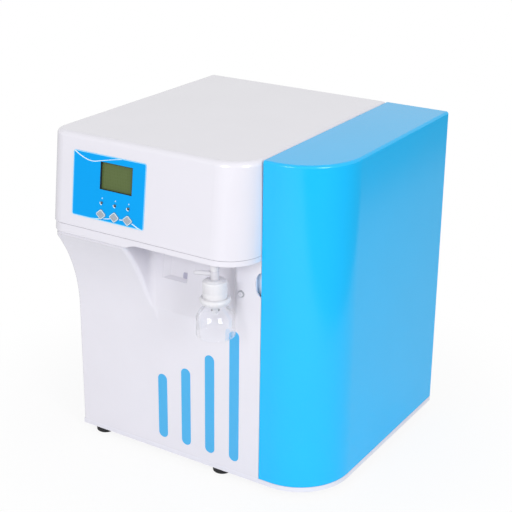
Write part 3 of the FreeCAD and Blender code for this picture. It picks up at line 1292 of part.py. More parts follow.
def make_electrics():
    start = "wet_wall + 2 * rim_height"
    length = "body_depth - wet_wall - 8 * rim_height"
    supply = ("sheet_metal + rim_height", start, "pan_floor", "2 * supply_height", length, "supply_height")
    node(box(*supply), "power_supply")
    back = "wet_wall + sheet_metal"
    front = f"({back} + rim_height + board_thickness)"
    left = "lamp_tube_x"
    board = box(left, f"{back} + rim_height", "board_low", "board_width", "board_thickness", "board_height")
    parts = [board]
    for i in range(4):
        x = f"{left} + relay_size + {i} * 1.8 * relay_size"
        parts.append(box(x, front, "board_low + relay_size", "relay_size", "relay_size", "relay_size"))
    size = "2 * relay_size"
    parts.append(box(f"{left} + relay_size", front, f"board_low + 2 * {size}", size, size, size))
    node(fuse(*parts), "control_board")
    pillars = [
        cylinder(f"{left} + {x}", back, f"board_low + {up}", "pillar_radius", "rim_height", "y")
        for x in ("board_margin", "board_width - board_margin")
        for up in ("board_margin", "board_height - board_margin")
    ]
    node(fuse(*pillars, *display_pillars()), "board_pillars")


def tube_run(*points):
    """A tube along straight runs joined by tangent bends."""
    route = [Vector(*p) for p in points]
    bend = SIZE["tube_bend"]
    edges = []
    here = route[0]
    for before, corner, after in zip(route, route[1:], route[2:]):
        back = (before - corner).normalize()
        ahead = (after - corner).normalize()
        half = back.getAngle(ahead) / 2
        reach = bend / math.tan(half)
        crown = corner + (back + ahead).normalize() * (bend / math.sin(half) - bend)
        start, end = corner + back * reach, corner + ahead * reach
        edges += [Part.LineSegment(here, start).toShape(), Part.Arc(start, crown, end).toShape()]
        here = end
    edges.append(Part.LineSegment(here, route[-1]).toShape())
    ring = Part.Circle(route[0], route[1] - route[0], SIZE["tube_radius"]).toShape()
    return Part.Wire(edges).makePipeShell([Part.Wire(ring)], True, False)


def make_tubing():
    x, y, lift = SIZE["outlet_x"], -SIZE["outlet_reach"], SIZE["feed_height"]
    wall = SIZE["white_width"] - SIZE["shell_wall"] - SIZE["seam_gap"]
    cell = SIZE["panel_depth"] + SIZE["tube_bend"]
    after_cell = cell + SIZE["cell_length"]
    entry = SIZE["feed_y"]
    low = SIZE["cartridge_bottom"] + SIZE["cartridge_length"] + SIZE["manifold_height"] / 2
    tubes = [
        tube_run((x, y, SIZE["pipe_top"]), (x, y, lift), (x, cell, lift)),
        tube_run((x, after_cell, lift), (x, entry, lift), (x, entry, low), (wall, entry, low)),
    ]
    left, right, row = SIZE["housing_x"], SIZE["lamp_tube_x"], SIZE["housing_y"]
    top = SIZE["pan_floor"] + SIZE["housing_length"]
    arch = top + 2 * SIZE["tube_bend"]
    tubes.append(tube_run((left, row, top), (left, row, arch), (right, row, arch), (right, row, top)))
    up, level, turn = SIZE["port_up"], SIZE["tube_level"], SIZE["tube_turn"]
    under = SIZE["wet_wall"] - SIZE["housing_radius"] / 2
    for i in range(2):
        port = SIZE["port_first"] + i * SIZE["port_pitch"]
        valve = port - SIZE["valve_offset"]
        route = [(port, SIZE["body_depth"] - SIZE["port_reach"], up), (port, turn, up), (port, turn, level)]
        route += [(valve, turn, level), (valve, under, level)]
        tubes.append(tube_run(*route, (valve, under, SIZE["valve_up"] - SIZE["valve_size"] / 2)))
    coded("internal_tubing", Part.makeCompound(tubes))


def make_conductivity_cell():
    start = "(panel_depth + tube_bend)"
    cell = cylinder("outlet_x", start, "feed_height", "2.5 * tube_radius", "cell_length", "y")
    length = f"{PARTITION_LEFT} - outlet_x"
    middle = f"{start} + cell_length / 3"
    stay = box("outlet_x", middle, "feed_height - tube_radius", length, "cell_length / 3", "2 * tube_radius")
    node(fuse(cell, stay), "conductivity_cell")


# ---------------------------------------------------------------- build and export

make_base_pan()
make_feet()
make_front_panel()
make_alcove_fittings()
make_top_shell()
make_control_panel()
make_side_door()
make_hinge()
make_door_catch()
make_partition()
make_bulkhead()
make_outer_panels()
make_dispenser()
make_filling_bell()
make_cartridges()
make_ports()
make_power_entry()
make_switch()
make_fan()
make_vessels()
make_pumps()
make_valves()
make_electrics()
make_tubing()
make_conductivity_cell()

doc.recompute()
for thing in doc.Objects:
    if "Invalid" in thing.State or "Error" in thing.State:
        raise RuntimeError(f"{thing.Name} ({thing.Label}) failed: {thing.State}")
os.makedirs("parts", exist_ok=True)
for thing in NODES:
    if thing.Shape.isNull() or not thing.Shape.isValid() or not thing.Shape.Solids:
        raise RuntimeError(f"{thing.Label} has no valid shape")
    thing.Shape.exportStep(f"parts/{thing.Label}.step")
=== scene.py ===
import math

import bmesh
import bpy
from bpy.props import FloatProperty, FloatVectorProperty, PointerProperty
from mathutils import Matrix, Vector
from mathutils.geometry import interpolate_bezier


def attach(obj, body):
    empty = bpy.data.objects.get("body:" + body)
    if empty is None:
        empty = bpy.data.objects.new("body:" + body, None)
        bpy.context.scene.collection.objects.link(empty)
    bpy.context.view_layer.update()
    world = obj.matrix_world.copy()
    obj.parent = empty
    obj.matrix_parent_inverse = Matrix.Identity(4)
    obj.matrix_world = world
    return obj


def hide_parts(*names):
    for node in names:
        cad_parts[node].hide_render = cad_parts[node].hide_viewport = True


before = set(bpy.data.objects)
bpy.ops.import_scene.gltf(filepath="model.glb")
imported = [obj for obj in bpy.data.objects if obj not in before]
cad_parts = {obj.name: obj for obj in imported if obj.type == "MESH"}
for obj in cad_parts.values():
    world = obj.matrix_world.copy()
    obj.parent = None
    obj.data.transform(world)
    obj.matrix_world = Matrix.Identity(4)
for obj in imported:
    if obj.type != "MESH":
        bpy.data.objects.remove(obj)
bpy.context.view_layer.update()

bl_info = {
    "name": "Ultrapure water system",
    "version": (1, 0, 0),
    "blender": (4, 5, 0),
    "location": "3D Viewport > Sidebar > Water System",
    "description": "Dresses the water system's frame with its prints, caps, dispenser and finishes",
    "category": "Object",
}

MM = 0.001

# The cabinet's own corner in the frame: left face, foot of the front panel, underside of the pan.
CORNER = Vector((-0.2154778, -0.167, 0.011))
HOOD_LEAN = math.radians(8.15)
# Lower left corner of the control overlay on the hood's leaning face, in cabinet millimetres. What
# follows is in the overlay's own millimetres: right, up the leaning face, and out of it.
OVERLAY_FOOT = Vector((39.0, -40.18, 378.0))
OVERLAY_SIZE = (130.0, 95.0)
OVERLAY_CORNER = 3.5
# How far the film's face and the lamps' lenses stand out of the hood.
OVERLAY_FACE, LAMP_FACE = 0.6, 1.05
# Left, lower, right and upper edge of the display window.
WINDOW = (49.5, 45.5, 107.0, 85.3)
# Printed line from the overlay's upper left corner down to the display and over it to the top edge.
UPPER_LINE = (
    (1.6, 94.0), (13.4, 88.2), (26.2, 84.3), (36.7, 83.6), (45.0, 85.2), (55.2, 87.6), (71.5, 91.2),
    (87.8, 94.3),
)
# Printed line from the overlay's lower edge through the keys to its lower right corner.
LOWER_LINE = (
    (29.6, 0.5), (40.9, 1.0), (49.1, 2.0), (62.5, 4.4), (74.0, 6.6), (86.2, 7.6), (95.0, 8.2),
    (103.0, 7.6), (111.5, 5.4), (120.0, 1.8), (125.5, 0.6),
)
# Middles of the keys and the lamps across and up the overlay.
BUTTON_MIDDLES = (53.8, 77.8, 101.8)
BUTTON_UP, LAMP_UP = 9.3, 26.0
# Half the width and height of a key's diamond opening, and how far the key stands out of the film.
BUTTON_HALF, BUTTON_RISE, BUTTON_PROUD = 9.4, 7.9, 0.9

# The places and sizes from here on are in cabinet millimetres.
OUTLET = Vector((279.6, -26.0, 0.0))
# Just under the middle of the niche's back, which leans backwards as it rises.
NICHE_FOOT = (180.0, 18.9, 284.5)
NICHE_LEAN = math.radians(10.2)
# Middle of the finger notch's height.
NOTCH_LEVEL = 316.0
FRONT_SCREW = (301.6, 4.72, 296.5)
CARTRIDGES = ((385.0, 80.0), (385.0, 180.0), (385.0, 280.0))
# Lower and upper edge of a cartridge's two end bands.
CARTRIDGE_BANDS = ((109.0, 121.0), (299.0, 311.0))
BACK_FACE = 369.0
REAR_SCREW_COLUMNS = (14, 214, 404)
REAR_SCREW_ROWS = (20, 200, 345, 481)
FEET = ((30.0, 18.0), (258.0, 18.0), (388.0, 84.0), (30.0, 337.0), (258.0, 337.0), (388.0, 337.0))
# Turns a flat piece, drawn in x and y, so that it stands upright and faces the front.
STAND = Matrix.Rotation(math.pi / 2, 4, "X")
# Points nearer to each other than this many millimetres are one.
SAME_PLACE = 0.0001
# Edges that turn by more than this are shaded sharp.
SHARP_TURN = math.radians(35)


def linear(text):
    """An sRGB hex colour as linear RGBA."""
    shares = [int(text[i : i + 2], 16) / 255 for i in (1, 3, 5)]
    return [s / 12.92 if s <= 0.04045 else ((s + 0.055) / 1.055) ** 2.4 for s in shares] + [1.0]


def upright(*shift):
    """Matrix from cabinet millimetres, moved by a shift, to the frame's metres."""
    return Matrix.Translation(CORNER) @ Matrix.Scale(MM, 4) @ Matrix.Translation(shift or (0, 0, 0))


def on_hood(right=0.0, up=0.0, out=0.0):
    """Matrix from the overlay's own millimetres: right, up the leaning face, and out of it."""
    lean = Matrix.Rotation(math.pi / 2 - HOOD_LEAN, 4, "X")
    return upright(*OVERLAY_FOOT) @ lean @ Matrix.Translation((right, up, out))


def behind(across=0.0, up=0.0, out=0.0):
    """Matrix from the rear panel's millimetres: across seen from behind, up, and out of it."""
    turn = Matrix.Rotation(math.pi, 4, "Z") @ STAND
    return upright(0, BACK_FACE, 0) @ turn @ Matrix.Translation((across, up, out))


# ---------------------------------------------------------------- mesh helpers

def piece(name, bm, place, body, slot, *materials):
    """Put a finished bmesh in its place and let it ride on a body of the frame."""
    bmesh.ops.transform(bm, matrix=place, verts=bm.verts)
    mesh = bpy.data.meshes.new(name)
    bm.to_mesh(mesh)
    bm.free()
    mesh.shade_smooth()
    mesh.set_sharp_from_angle(angle=SHARP_TURN)
    for material in materials:
        mesh.materials.append(bpy.data.materials[material])
    made = bpy.data.objects.new(name, mesh)
    bpy.context.scene.collection.objects.link(made)
    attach(made, body)
    return made


def outline(corners, radius):
    """A flat face through the corners with each of them rounded."""
    bm = bmesh.new()
    bm.faces.new([bm.verts.new((x, y, 0)) for x, y in corners])
    bmesh.ops.bevel(
        bm, geom=bm.verts[:], offset=radius, segments=8, profile=0.5, affect="VERTICES", material=-1
    )
    return bm


def rectangle(left, low, right, high):
    """Corners of an upright rectangle."""
    return [(left, low), (right, low), (right, high), (left, high)]


def raise_faces(bm, faces, height):
    """Extrude faces along z by a height and return the raised ones."""
    raised = bmesh.ops.extrude_face_region(bm, geom=faces)["geom"]
    verts = [item for item in raised if isinstance(item, bmesh.types.BMVert)]
    bmesh.ops.translate(bm, vec=(0, 0, height), verts=verts)
    return [item for item in raised if isinstance(item, bmesh.types.BMFace)]


def slab(corners, radius, thickness, crown=()):
    """A rounded plate whose top is crowned by (inset, rise) steps."""
    bm = outline(corners, radius)
    top = raise_faces(bm, bm.faces[:], thickness)
    for inset, rise in crown:
        bmesh.ops.inset_region(bm, faces=top, thickness=inset, depth=rise, use_even_offset=True)
    bmesh.ops.recalc_face_normals(bm, faces=bm.faces)
    return bm


def outline_ring(corners, radius, width, thickness):
    """A line along a rounded outline, laid inside it."""
    bm = outline(corners, radius)
    inner = bm.faces[:]
    bmesh.ops.inset_region(bm, faces=inner, thickness=width, use_boundary=True, use_even_offset=True)
    bmesh.ops.delete(bm, geom=inner, context="FACES")
    raise_faces(bm, bm.faces[:], thickness)
    bmesh.ops.recalc_face_normals(bm, faces=bm.faces)
    return bm


def ribbon(bm, route, width_at, thickness):
    """A thin raised line along a route, for print and for the lamps' painted highlights; width_at gives its
    width at each point.
    """
    count = len(route)
    low, high = [], []
    for i, point in enumerate(route):
        ahead = (route[min(i + 1, count - 1)] - route[max(i - 1, 0)]).normalized()
        side = Vector((-ahead.y, ahead.x, 0)) * width_at(point) / 2
        low.append(point - side)
        high.append(point + side)
    verts = [bm.verts.new(point) for point in low]
    edges = [bm.edges.new(pair) for pair in zip(verts, verts[1:])]
    grown = bmesh.ops.extrude_edge_only(bm, edges=edges)["geom"]
    partners = [item for item in grown if isinstance(item, bmesh.types.BMVert)]
    for vert, point in zip(partners, high):
        vert.co = point
    raise_faces(bm, [item for item in grown if isinstance(item, bmesh.types.BMFace)], thickness)


def tapered(start, end, length):
    """Width of a printed line that goes from start to end over a length in x, and then stays."""
    return lambda point: start + (end - start) * min(1, point.x / length)


def smooth_route(points, steps=24):
    """A flowing line through the points, made of Bezier runs whose directions come from the neighbours."""
    spots = [Vector((*point, 0)) for point in points]
    last = len(spots) - 1
    leans = [(spots[min(i + 1, last)] - spots[max(i - 1, 0)]).normalized() for i in range(len(spots))]
    route = spots[:1]
    for start, end, leave, arrive in zip(spots, spots[1:], leans, leans[1:]):
        pull = (end - start).length / 3
        route += interpolate_bezier(start, start + leave * pull, end - arrive * pull, end, steps)[1:]
    return route


def turned(profile, steps, closed=False):
    """A piece turned about z from (radius, height) points."""
    bm = bmesh.new()
    verts = [bm.verts.new((radius, 0, height)) for radius, height in profile]
    pairs = list(zip(verts, verts[1:]))
    if closed:
        pairs.append((verts[-1], verts[0]))
    edges = [bm.edges.new(pair) for pair in pairs]
    bmesh.ops.spin(
        bm, geom=verts + edges, cent=(0, 0, 0), axis=(0, 0, 1), angle=math.tau, steps=steps,
        use_merge=True,
    )
    bmesh.ops.remove_doubles(bm, verts=bm.verts, dist=SAME_PLACE)
    bmesh.ops.recalc_face_normals(bm, faces=bm.faces)
    return bm


def arc(middle, radius, start, end, steps):
    """Points of an arc, its angles in degrees from the first axis towards the second."""
    angles = [math.radians(start + (end - start) * i / steps) for i in range(steps + 1)]
    return [(middle[0] + radius * math.cos(a), middle[1] + radius * math.sin(a)) for a in angles]


def join(bm, other, *shift):
    """Add another bmesh to the first one, moved by a shift."""
    bmesh.ops.translate(other, vec=shift or (0, 0, 0), verts=other.verts)
    spare = bpy.data.meshes.new("spare")
    other.to_mesh(spare)
    other.free()
    bm.from_mesh(spare)
    bpy.data.meshes.remove(spare)


def lobed(bm, inner, outer, depth, lobes):
    """Wave the outside of a turned piece, fully at the outer radius and not at all at the inner one."""
    for vert in bm.verts:
        reach = math.hypot(vert.co.x, vert.co.y)
        if reach > inner:
            angle = math.atan2(vert.co.y, vert.co.x)
            grow = depth * (math.cos(lobes * angle) - 1) / 2 * (reach - inner) / (outer - inner)
            vert.co.x += grow * math.cos(angle)
            vert.co.y += grow * math.sin(angle)
    return bm


def screw_head(radius, height, reach):
    """A flat screw head on z = 0 with a rounded edge and a cross recess whose arms have this reach."""
    edge, width, depth = 0.5, reach * 0.55, height * 0.85
    rounding = arc((radius - edge, height - edge), edge, 90, 0, 3)
    bm = turned([(0, height)] + rounding + [(radius, 0), (0, 0)], steps=32)
    for axis in (Vector((1, 0, 0)), Vector((0, 1, 0))):
        for place in (-reach, -width / 2, width / 2, reach):
            geom = bm.verts[:] + bm.edges[:] + bm.faces[:]
            bmesh.ops.bisect_plane(bm, geom=geom, dist=SAME_PLACE, plane_co=axis * place, plane_no=axis)
    bm.normal_update()
    recess = []
    for face in bm.faces:
        middle = face.calc_center_median()
        across, along = sorted((abs(middle.x), abs(middle.y)))
        if face.normal.z > 0.9 and along < reach and across < width / 2:
            recess.append(face)
    raise_faces(bm, recess, -depth)
    bmesh.ops.delete(bm, geom=[face for face in recess if face.is_valid], context="FACES")
    bmesh.ops.recalc_face_normals(bm, faces=bm.faces)
    return bm


# ---------------------------------------------------------------- material helpers

def add_node(tree, kind, settings=None, links=None):
    """Add a node, give it its settings by property or socket, and link its inputs."""
    node = tree.nodes.new(kind)
    for key, value in (settings or {}).items():
        if isinstance(key, str) and hasattr(node, key):
            setattr(node, key, value)
        else:
            node.inputs[key].default_value = value
    for key, output in (links or {}).items():
        tree.links.new(output, node.inputs[key])
    return node


def start_material(name, settings):
    """A material with its Principled shader set, and the object's own coordinates."""
    material = bpy.data.materials.new(name)
    material.use_nodes = True
    tree = material.node_tree
    shader = tree.nodes["Principled BSDF"]
    for key, value in settings.items():
        shader.inputs[key].default_value = value
    return tree, shader, add_node(tree, "ShaderNodeTexCoord").outputs["Object"]


def grained(name, colour, roughness, grain, depth, patch=60.0, deep=0.96, stretch=(1, 1, 1), **settings):
    """A finish whose tone drifts over large patches and whose surface has a fine grain.

    grain and patch are sizes in millimetres, depth is the grain's height in millimetres,
    deep is the share of the colour in the darker patches, and roughness is the range
    from the smooth to the rough places. stretch scales the grain's pattern along x, y and z.
    """
    tree, shader, place = start_material(name, settings)
    drift = add_node(
        tree, "ShaderNodeTexNoise", {"Scale": 1 / (patch * MM), "Detail": 2.0}, {"Vector": place}
    )
    # Sockets 6 and 7 are the two colours of the mix, and its output 2 is the mixed one.
    light, dark = (*colour[:3], 1.0), [part * deep for part in colour[:3]] + [1.0]
    tone = add_node(
        tree, "ShaderNodeMix", {"data_type": "RGBA", 6: light, 7: dark}, {0: drift.outputs["Fac"]}
    )
    spread = add_node(
        tree, "ShaderNodeMapRange", {"To Min": roughness[0], "To Max": roughness[1]},
        {0: drift.outputs["Fac"]},
    )
    mapping = add_node(tree, "ShaderNodeMapping", {"Scale": stretch}, {"Vector": place})
    fine = add_node(
        tree, "ShaderNodeTexNoise", {"Scale": 1 / (grain * MM), "Detail": 3.0},
        {"Vector": mapping.outputs[0]},
    )
    bump = add_node(tree, "ShaderNodeBump", {"Distance": depth * MM}, {"Height": fine.outputs["Fac"]})
    tree.links.new(tone.outputs[2], shader.inputs["Base Color"])
    tree.links.new(spread.outputs[0], shader.inputs["Roughness"])
    tree.links.new(bump.outputs[0], shader.inputs["Normal"])


def make_finishes(colours):
    """Every finish of the object, named for the real material."""
    # Polished mould, so it is glossy with a faint orange peel about 4 mm across.
    grained(
        "gloss_abs_white", colours.white_shell, (0.20, 0.26), grain=4.0, depth=0.006,
        **{"Coat Weight": 0.7, "Coat Roughness": 0.10},
    )
    # The same moulding pigmented blue; the pigment drifts a little with the melt's flow.
    grained(
        "gloss_abs_blue", colours.blue_door, (0.14, 0.20), grain=4.0, depth=0.006,
        **{"Specular IOR Level": 0.42},
    )
    # Printed on the back of a polyester film, so the colour is even and the face almost matt.
    grained(
        "polyester_film_blue", colours.overlay_film, (0.46, 0.54), grain=0.5, depth=0.004,
        **{"Specular IOR Level": 0.05},
    )
    # Spark-eroded mould, so it is satin with a fine even texture.
    grained("satin_abs_white", linear("#E4E3EC"), (0.38, 0.46), grain=0.8, depth=0.02)
    # Thin glossy strips snapped into grooves.
    grained("gloss_pmma_blue", linear("#45B0E8"), (0.16, 0.22), grain=3.0, depth=0.005)
    # Inside of the finger notch: its own pale blue, lightened well beyond it as painted light, since the
    # notch lies in shade.
    grained("notch_blue_painted_light", linear("#EAF3FF"), (0.35, 0.45), grain=1.0, depth=0.01)
    # Moulded rubber, matt with a coarse skin; the same dark also paints the nozzle's shadows.
    grained("dark_rubber_and_shadow", linear("#1B1C1F"), (0.62, 0.78), grain=0.9, depth=0.06, deep=0.7)
    # Dark navy on the display window's walls, painted shade for the shadow in the window, matt and
    # open-pored.
    grained("window_wall_shade", linear("#10202E"), (0.7, 0.85), grain=0.5, depth=0.05, deep=0.7)
    # Electroplated steel, mottled where the passivation is thicker.
    grained(
        "zinc_plated_steel", linear("#C3C6C9"), (0.28, 0.42), grain=0.6, depth=0.01,
        patch=9.0, deep=0.84, Metallic=1.0,
    )
    # Steel sheet with a baked powder coat: satin, with a pebbled skin about 1 mm across.
    grained("powder_coat_white", linear("#E2E1E9"), (0.34, 0.44), grain=1.0, depth=0.03)
    # Opaque screen ink, slightly raised and matt; on the lamps the same white paints their highlights.
    grained("white_ink_and_glint", linear("#DCF2FC"), (0.45, 0.55), grain=0.3, depth=0.008)
    # The same ink tinted like ice, as the blue film under it shows through.
    grained("screen_ink_ice", linear("#8EDCFF"), (0.45, 0.55), grain=0.3, depth=0.008)
    # Moulded silicone pad with a leathery texture that catches the light in specks.
    grained(
        "silicone_grey", linear("#B4BECA"), (0.35, 0.6), grain=0.9, depth=0.16, patch=1.6, deep=0.5
    )
    # Smoked epoxy lens of an unlit lamp: near black, with a wet gloss.
    grained(
        "smoked_epoxy", linear("#0D1A33"), (0.05, 0.09), grain=2.0, depth=0.001,
        **{"Coat Weight": 1.0},
    )
    # Tinted infrared window of the level sensor, a lavender gloss.
    grained("infrared_filter", linear("#B4B2C6"), (0.12, 0.18), grain=2.0, depth=0.002)
    # Woven glass board under green solder mask.
    grained(
        "solder_mask_green", linear("#0E5A34"), (0.25, 0.4), grain=0.7, depth=0.03, patch=12.0, deep=0.75
    )
    # Injection moulded polypropylene: milky, with a waxy gloss.
    grained(
        "polypropylene_white", linear("#E2E1E5"), (0.28, 0.36), grain=2.5, depth=0.01,
        **{"Subsurface Weight": 0.25, "Subsurface Radius": (0.006, 0.006, 0.006), "Subsurface Scale": 1.0},
    )
    # The same plastic from a matt mould, so the lever looks duller than the parts round it.
    grained(
        "polypropylene_matt", linear("#D3D2D8"), (0.6, 0.7), grain=1.2, depth=0.02,
        **{"Specular IOR Level": 0.2},
    )
    # Glass-filled nylon, satin black with a faint fibre pattern.
    grained("nylon_black", linear("#1D1E21"), (0.4, 0.52), grain=0.6, depth=0.02, deep=0.8)
    # Drawn tube brushed round its axis: level scratches, tall highlights.
    grained(
        "stainless_brushed", linear("#BFC1C4"), (0.22, 0.34), grain=0.4, depth=0.012,
        stretch=(0.06, 0.06, 1), Metallic=1.0,
    )
    # Die-cast housing, dull and pitted.
    grained(
        "cast_aluminium", linear("#A9ABAF"), (0.45, 0.6), grain=1.1, depth=0.09,
        patch=15.0, deep=0.88, Metallic=1.0,
    )
    # Nickel-plated magnets, bright and faintly warm.
    grained(
        "nickel_plate", linear("#C9C6BF"), (0.12, 0.2), grain=0.8, depth=0.004,
        patch=6.0, deep=0.9, Metallic=1.0,
    )
    # Extruded polyethylene tube, cloudy.
    grained(
        "polyethylene_tube", linear("#E6ECF2"), (0.25, 0.35), grain=3.0, depth=0.02,
        **{"Transmission Weight": 0.35, "IOR": 1.51},
    )
    # Machined acetal rings, grey with a turned sheen.
    grained("acetal_grey", linear("#4A4F5A"), (0.35, 0.45), grain=0.5, depth=0.012, deep=0.85)
    # Clear mould, water-white with the faintest blue cast. The low IOR and the alpha keep its thin
    # wall from looking like solid glass.
    grained(
        "clear_polycarbonate", linear("#FCFDFF"), (0.02, 0.04), grain=8.0, depth=0.004, deep=0.99,
        **{
            "Transmission Weight": 1.0, "IOR": 1.15, "Alpha": 0.5,
            "Coat Weight": 1.0, "Coat Roughness": 0.06,
        },
    )
    make_display_glass()


def make_display_glass():
    """Unlit reflective display: olive polariser with barely visible character cells."""
    tree, shader, place = start_material(
        "display_glass", {"Roughness": 0.16, "Specular IOR Level": 0.35}
    )
    # Character cells 2.95 by 4.75 mm, a tenth of each left for the gap to the next.
    mapping = add_node(tree, "ShaderNodeMapping", {"Rotation": (math.pi / 2, 0, 0)}, {"Vector": place})
    cells = add_node(
        tree, "ShaderNodeTexBrick",
        {
            "offset": 0.0, "Scale": 1.0, "Brick Width": 2.95 * MM, "Row Height": 4.75 * MM,
            "Mortar Size": 0.3 * MM, "Mortar Smooth": 0.2, "Color1": linear("#58683A"),
            "Color2": linear("#566637"), "Mortar": linear("#5C6C3F"),
        },
        {"Vector": mapping.outputs[0]},
    )
    tree.links.new(cells.outputs["Color"], shader.inputs["Base Color"])


# Which finish each node of the frame wears.
NODE_FINISHES = {
    "gloss_abs_white": ("top_shell", "front_panel", "sensor_niche"),
    "gloss_abs_blue": ("side_door",),
    "satin_abs_white": ("base_pan", "board_pillars"),
    "gloss_pmma_blue": ("front_stripes",),
    "dark_rubber_and_shadow": ("feet", "pump_mounts"),
    "zinc_plated_steel": (
        "foot_screws", "panel_screw", "hinge_pins", "upper_hinge_bracket", "strike_plate", "inlet_pins",
    ),
    "powder_coat_white": ("partition", "bulkhead", "left_side_panel", "rear_panel"),
    "polyester_film_blue": ("control_overlay",),
    "silicone_grey": ("button_1", "button_2", "button_3"),
    "smoked_epoxy": ("indicator_lamps",),
    "solder_mask_green": ("display_board", "control_board"),
    "polypropylene_white": (
        "outlet_pipe", "filter_capsule", "capsule_ring", "cartridge_1", "cartridge_2",
        "cartridge_3", "filter_manifold", "rear_ports", "membrane_housing",
    ),
    "polypropylene_matt": ("tap_lever",),
    "nylon_black": (
        "button_contacts", "cartridge_clips", "power_inlet", "fuse_drawer", "switch_housing",
        "power_rocker", "fan_frame", "fan_rotor", "housing_saddles", "solenoid_valves",
        "conductivity_cell",
    ),
    "stainless_brushed": ("fan_guard", "ultraviolet_reactor"),
    "cast_aluminium": ("booster_pump", "circulation_pump", "power_supply"),
    "nickel_plate": ("catch_magnets",),
    "polyethylene_tube": ("internal_tubing", "fuse"),
    "acetal_grey": ("port_collet_1", "port_collet_2"),
    "clear_polycarbonate": ("filling_bell",),
    "display_glass": ("lcd_module",),
}


# ---------------------------------------------------------------- settings

class WaterSystemColours(bpy.types.PropertyGroup):
    white_shell: FloatVectorProperty(
        name="White shell", description="Colour of the white mouldings", subtype="COLOR", size=3,
        min=0, max=1, default=linear("#E5E3EB")[:3],
    )
    blue_door: FloatVectorProperty(
        name="Blue door", description="Colour of the side door", subtype="COLOR", size=3,
        min=0, max=1, default=linear("#14BCFA")[:3],
    )
    overlay_film: FloatVectorProperty(
        name="Overlay film", description="Colour of the control overlay", subtype="COLOR", size=3,
        min=0, max=1, default=linear("#0BA2EF")[:3],
    )


class WaterSystemPrint(bpy.types.PropertyGroup):
    line_width: FloatProperty(
        name="Line width", description="Border line of the overlay", default=0.0011, min=0.0002,
        max=0.003, precision=5, unit="LENGTH",
    )
    ink_thickness: FloatProperty(
        name="Ink thickness", description="Height of the print above its film", default=0.00006,
        min=0.00001, max=0.0002, precision=5, unit="LENGTH",
    )


class WaterSystemStage(bpy.types.PropertyGroup):
    front_lamp: FloatProperty(
        name="Front softbox", description="Power of the softbox straight in front, in watts",
        default=11.5, min=0, max=500,
    )
    side_lamp: FloatProperty(
        name="Side softbox", description="Power of the softbox to the right, in watts",
        default=18.6, min=0, max=500,
    )
    fill: FloatProperty(
        name="Fill light", description="Strength of the light from all round", default=0.62,
        min=0, max=5,
    )


# ---------------------------------------------------------------- operators

class WATERSYSTEM_OT_finishes(bpy.types.Operator):
    """Make the finishes and give each node of the frame its own"""

    bl_idname = "watersystem.finishes"
    bl_label = "Finishes"

    def execute(self, context):
        make_finishes(context.scene.water_colours)
        for name, nodes in NODE_FINISHES.items():
            for node in nodes:
                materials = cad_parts[node].data.materials
                materials.clear()
                materials.append(bpy.data.materials[name])
        return {"FINISHED"}


class WATERSYSTEM_OT_overlay_print(bpy.types.Operator):
    """Print the overlay's border and its two flowing lines"""

    bl_idname = "watersystem.overlay_print"
    bl_label = "Overlay print"

    def execute(self, context):
        settings = context.scene.water_print
        width, ink = settings.line_width / MM, settings.ink_thickness / MM
        wide, tall = OVERLAY_SIZE
        film = on_hood(out=OVERLAY_FACE)
        border = outline_ring(rectangle(0, 0, wide, tall), OVERLAY_CORNER, width, ink)
        piece("overlay_border", border, film, "cabinet", "overlay_film", "screen_ink_ice")
        # The lines are thinner than the border, so that their faces don't meet where they cross it.
        thin_ink = ink * 0.9
        lines = bmesh.new()
        ribbon(lines, smooth_route(UPPER_LINE), tapered(1.7, 0.8, 60.0), thin_ink)
        for run in self.clear_of_keys(smooth_route(LOWER_LINE)):
            ribbon(lines, run, tapered(0.6, 1.6, wide), thin_ink)
        bmesh.ops.recalc_face_normals(lines, faces=lines.faces)
        piece("overlay_print", lines, film, "cabinet", "overlay_film", "white_ink_and_glint")
        return {"FINISHED"}

    def clear_of_keys(self, route):
        """The runs of a route that lie outside the diamond openings of the keys."""
        margin = 1.5
        half, rise = BUTTON_HALF + margin, BUTTON_RISE + margin
        runs, run = [], []
        for point in route:
            within = any(
                abs(point.x - x) / half + abs(point.y - BUTTON_UP) / rise < 1 for x in BUTTON_MIDDLES
            )
            if not within:
                run.append(point)
            elif run:
                runs.append(run)
                run = []
        return [part for part in [*runs, run] if len(part) > 1]


class WATERSYSTEM_OT_display(bpy.types.Operator):
    """Line the display window's walls in dark navy, painted shade for the shadow in the window"""

    bl_idname = "watersystem.display"
    bl_label = "Display window shade"

    def execute(self, context):
        left, low, right, high = WINDOW
        slack, corner, width = 0.02, 0.3, 0.5
        height, sunk = 3.45, 2.95
        edge = rectangle(left + slack, low + slack, right - slack, high - slack)
        # A dark ring on the window's walls paints their shade.
        shade_ring = outline_ring(edge, corner, width, height)
        piece("display_window_shade", shade_ring, on_hood(out=-sunk), "cabinet", "black_plastic", "window_wall_shade")
        return {"FINISHED"}


class WATERSYSTEM_OT_keys(bpy.types.Operator):
    """Cap each key with its domed pad, outlined in white"""

    bl_idname = "watersystem.keys"
    bl_label = "Key pads"

    def execute(self, context):
        slack, corner, wall = 0.2, 2.5, 0.12
        half, rise = BUTTON_HALF - slack, BUTTON_RISE - slack
        # Inset and rise of the flat white rim, the shoulder and the edge of the face.
        crown = ((0.9, 0.0), (0.4, 0.28), (0.6, 0.1))
        for i, x in enumerate(BUTTON_MIDDLES, start=1):
            bm = slab([(half, 0), (0, rise), (-half, 0), (0, -rise)], corner, wall, crown)
            for face in bm.faces:
                level = face.calc_center_median().z
                face.material_index = int(face.normal.z > 0.99 and abs(level - wall) < 0.01)
            place = on_hood(x, BUTTON_UP, OVERLAY_FACE + BUTTON_PROUD)
            looks = ("silicone_grey", "white_ink_and_glint")
            piece(f"key_pad_{i}", bm, place, f"button_{i}", "button_cap", *looks)
        return {"FINISHED"}


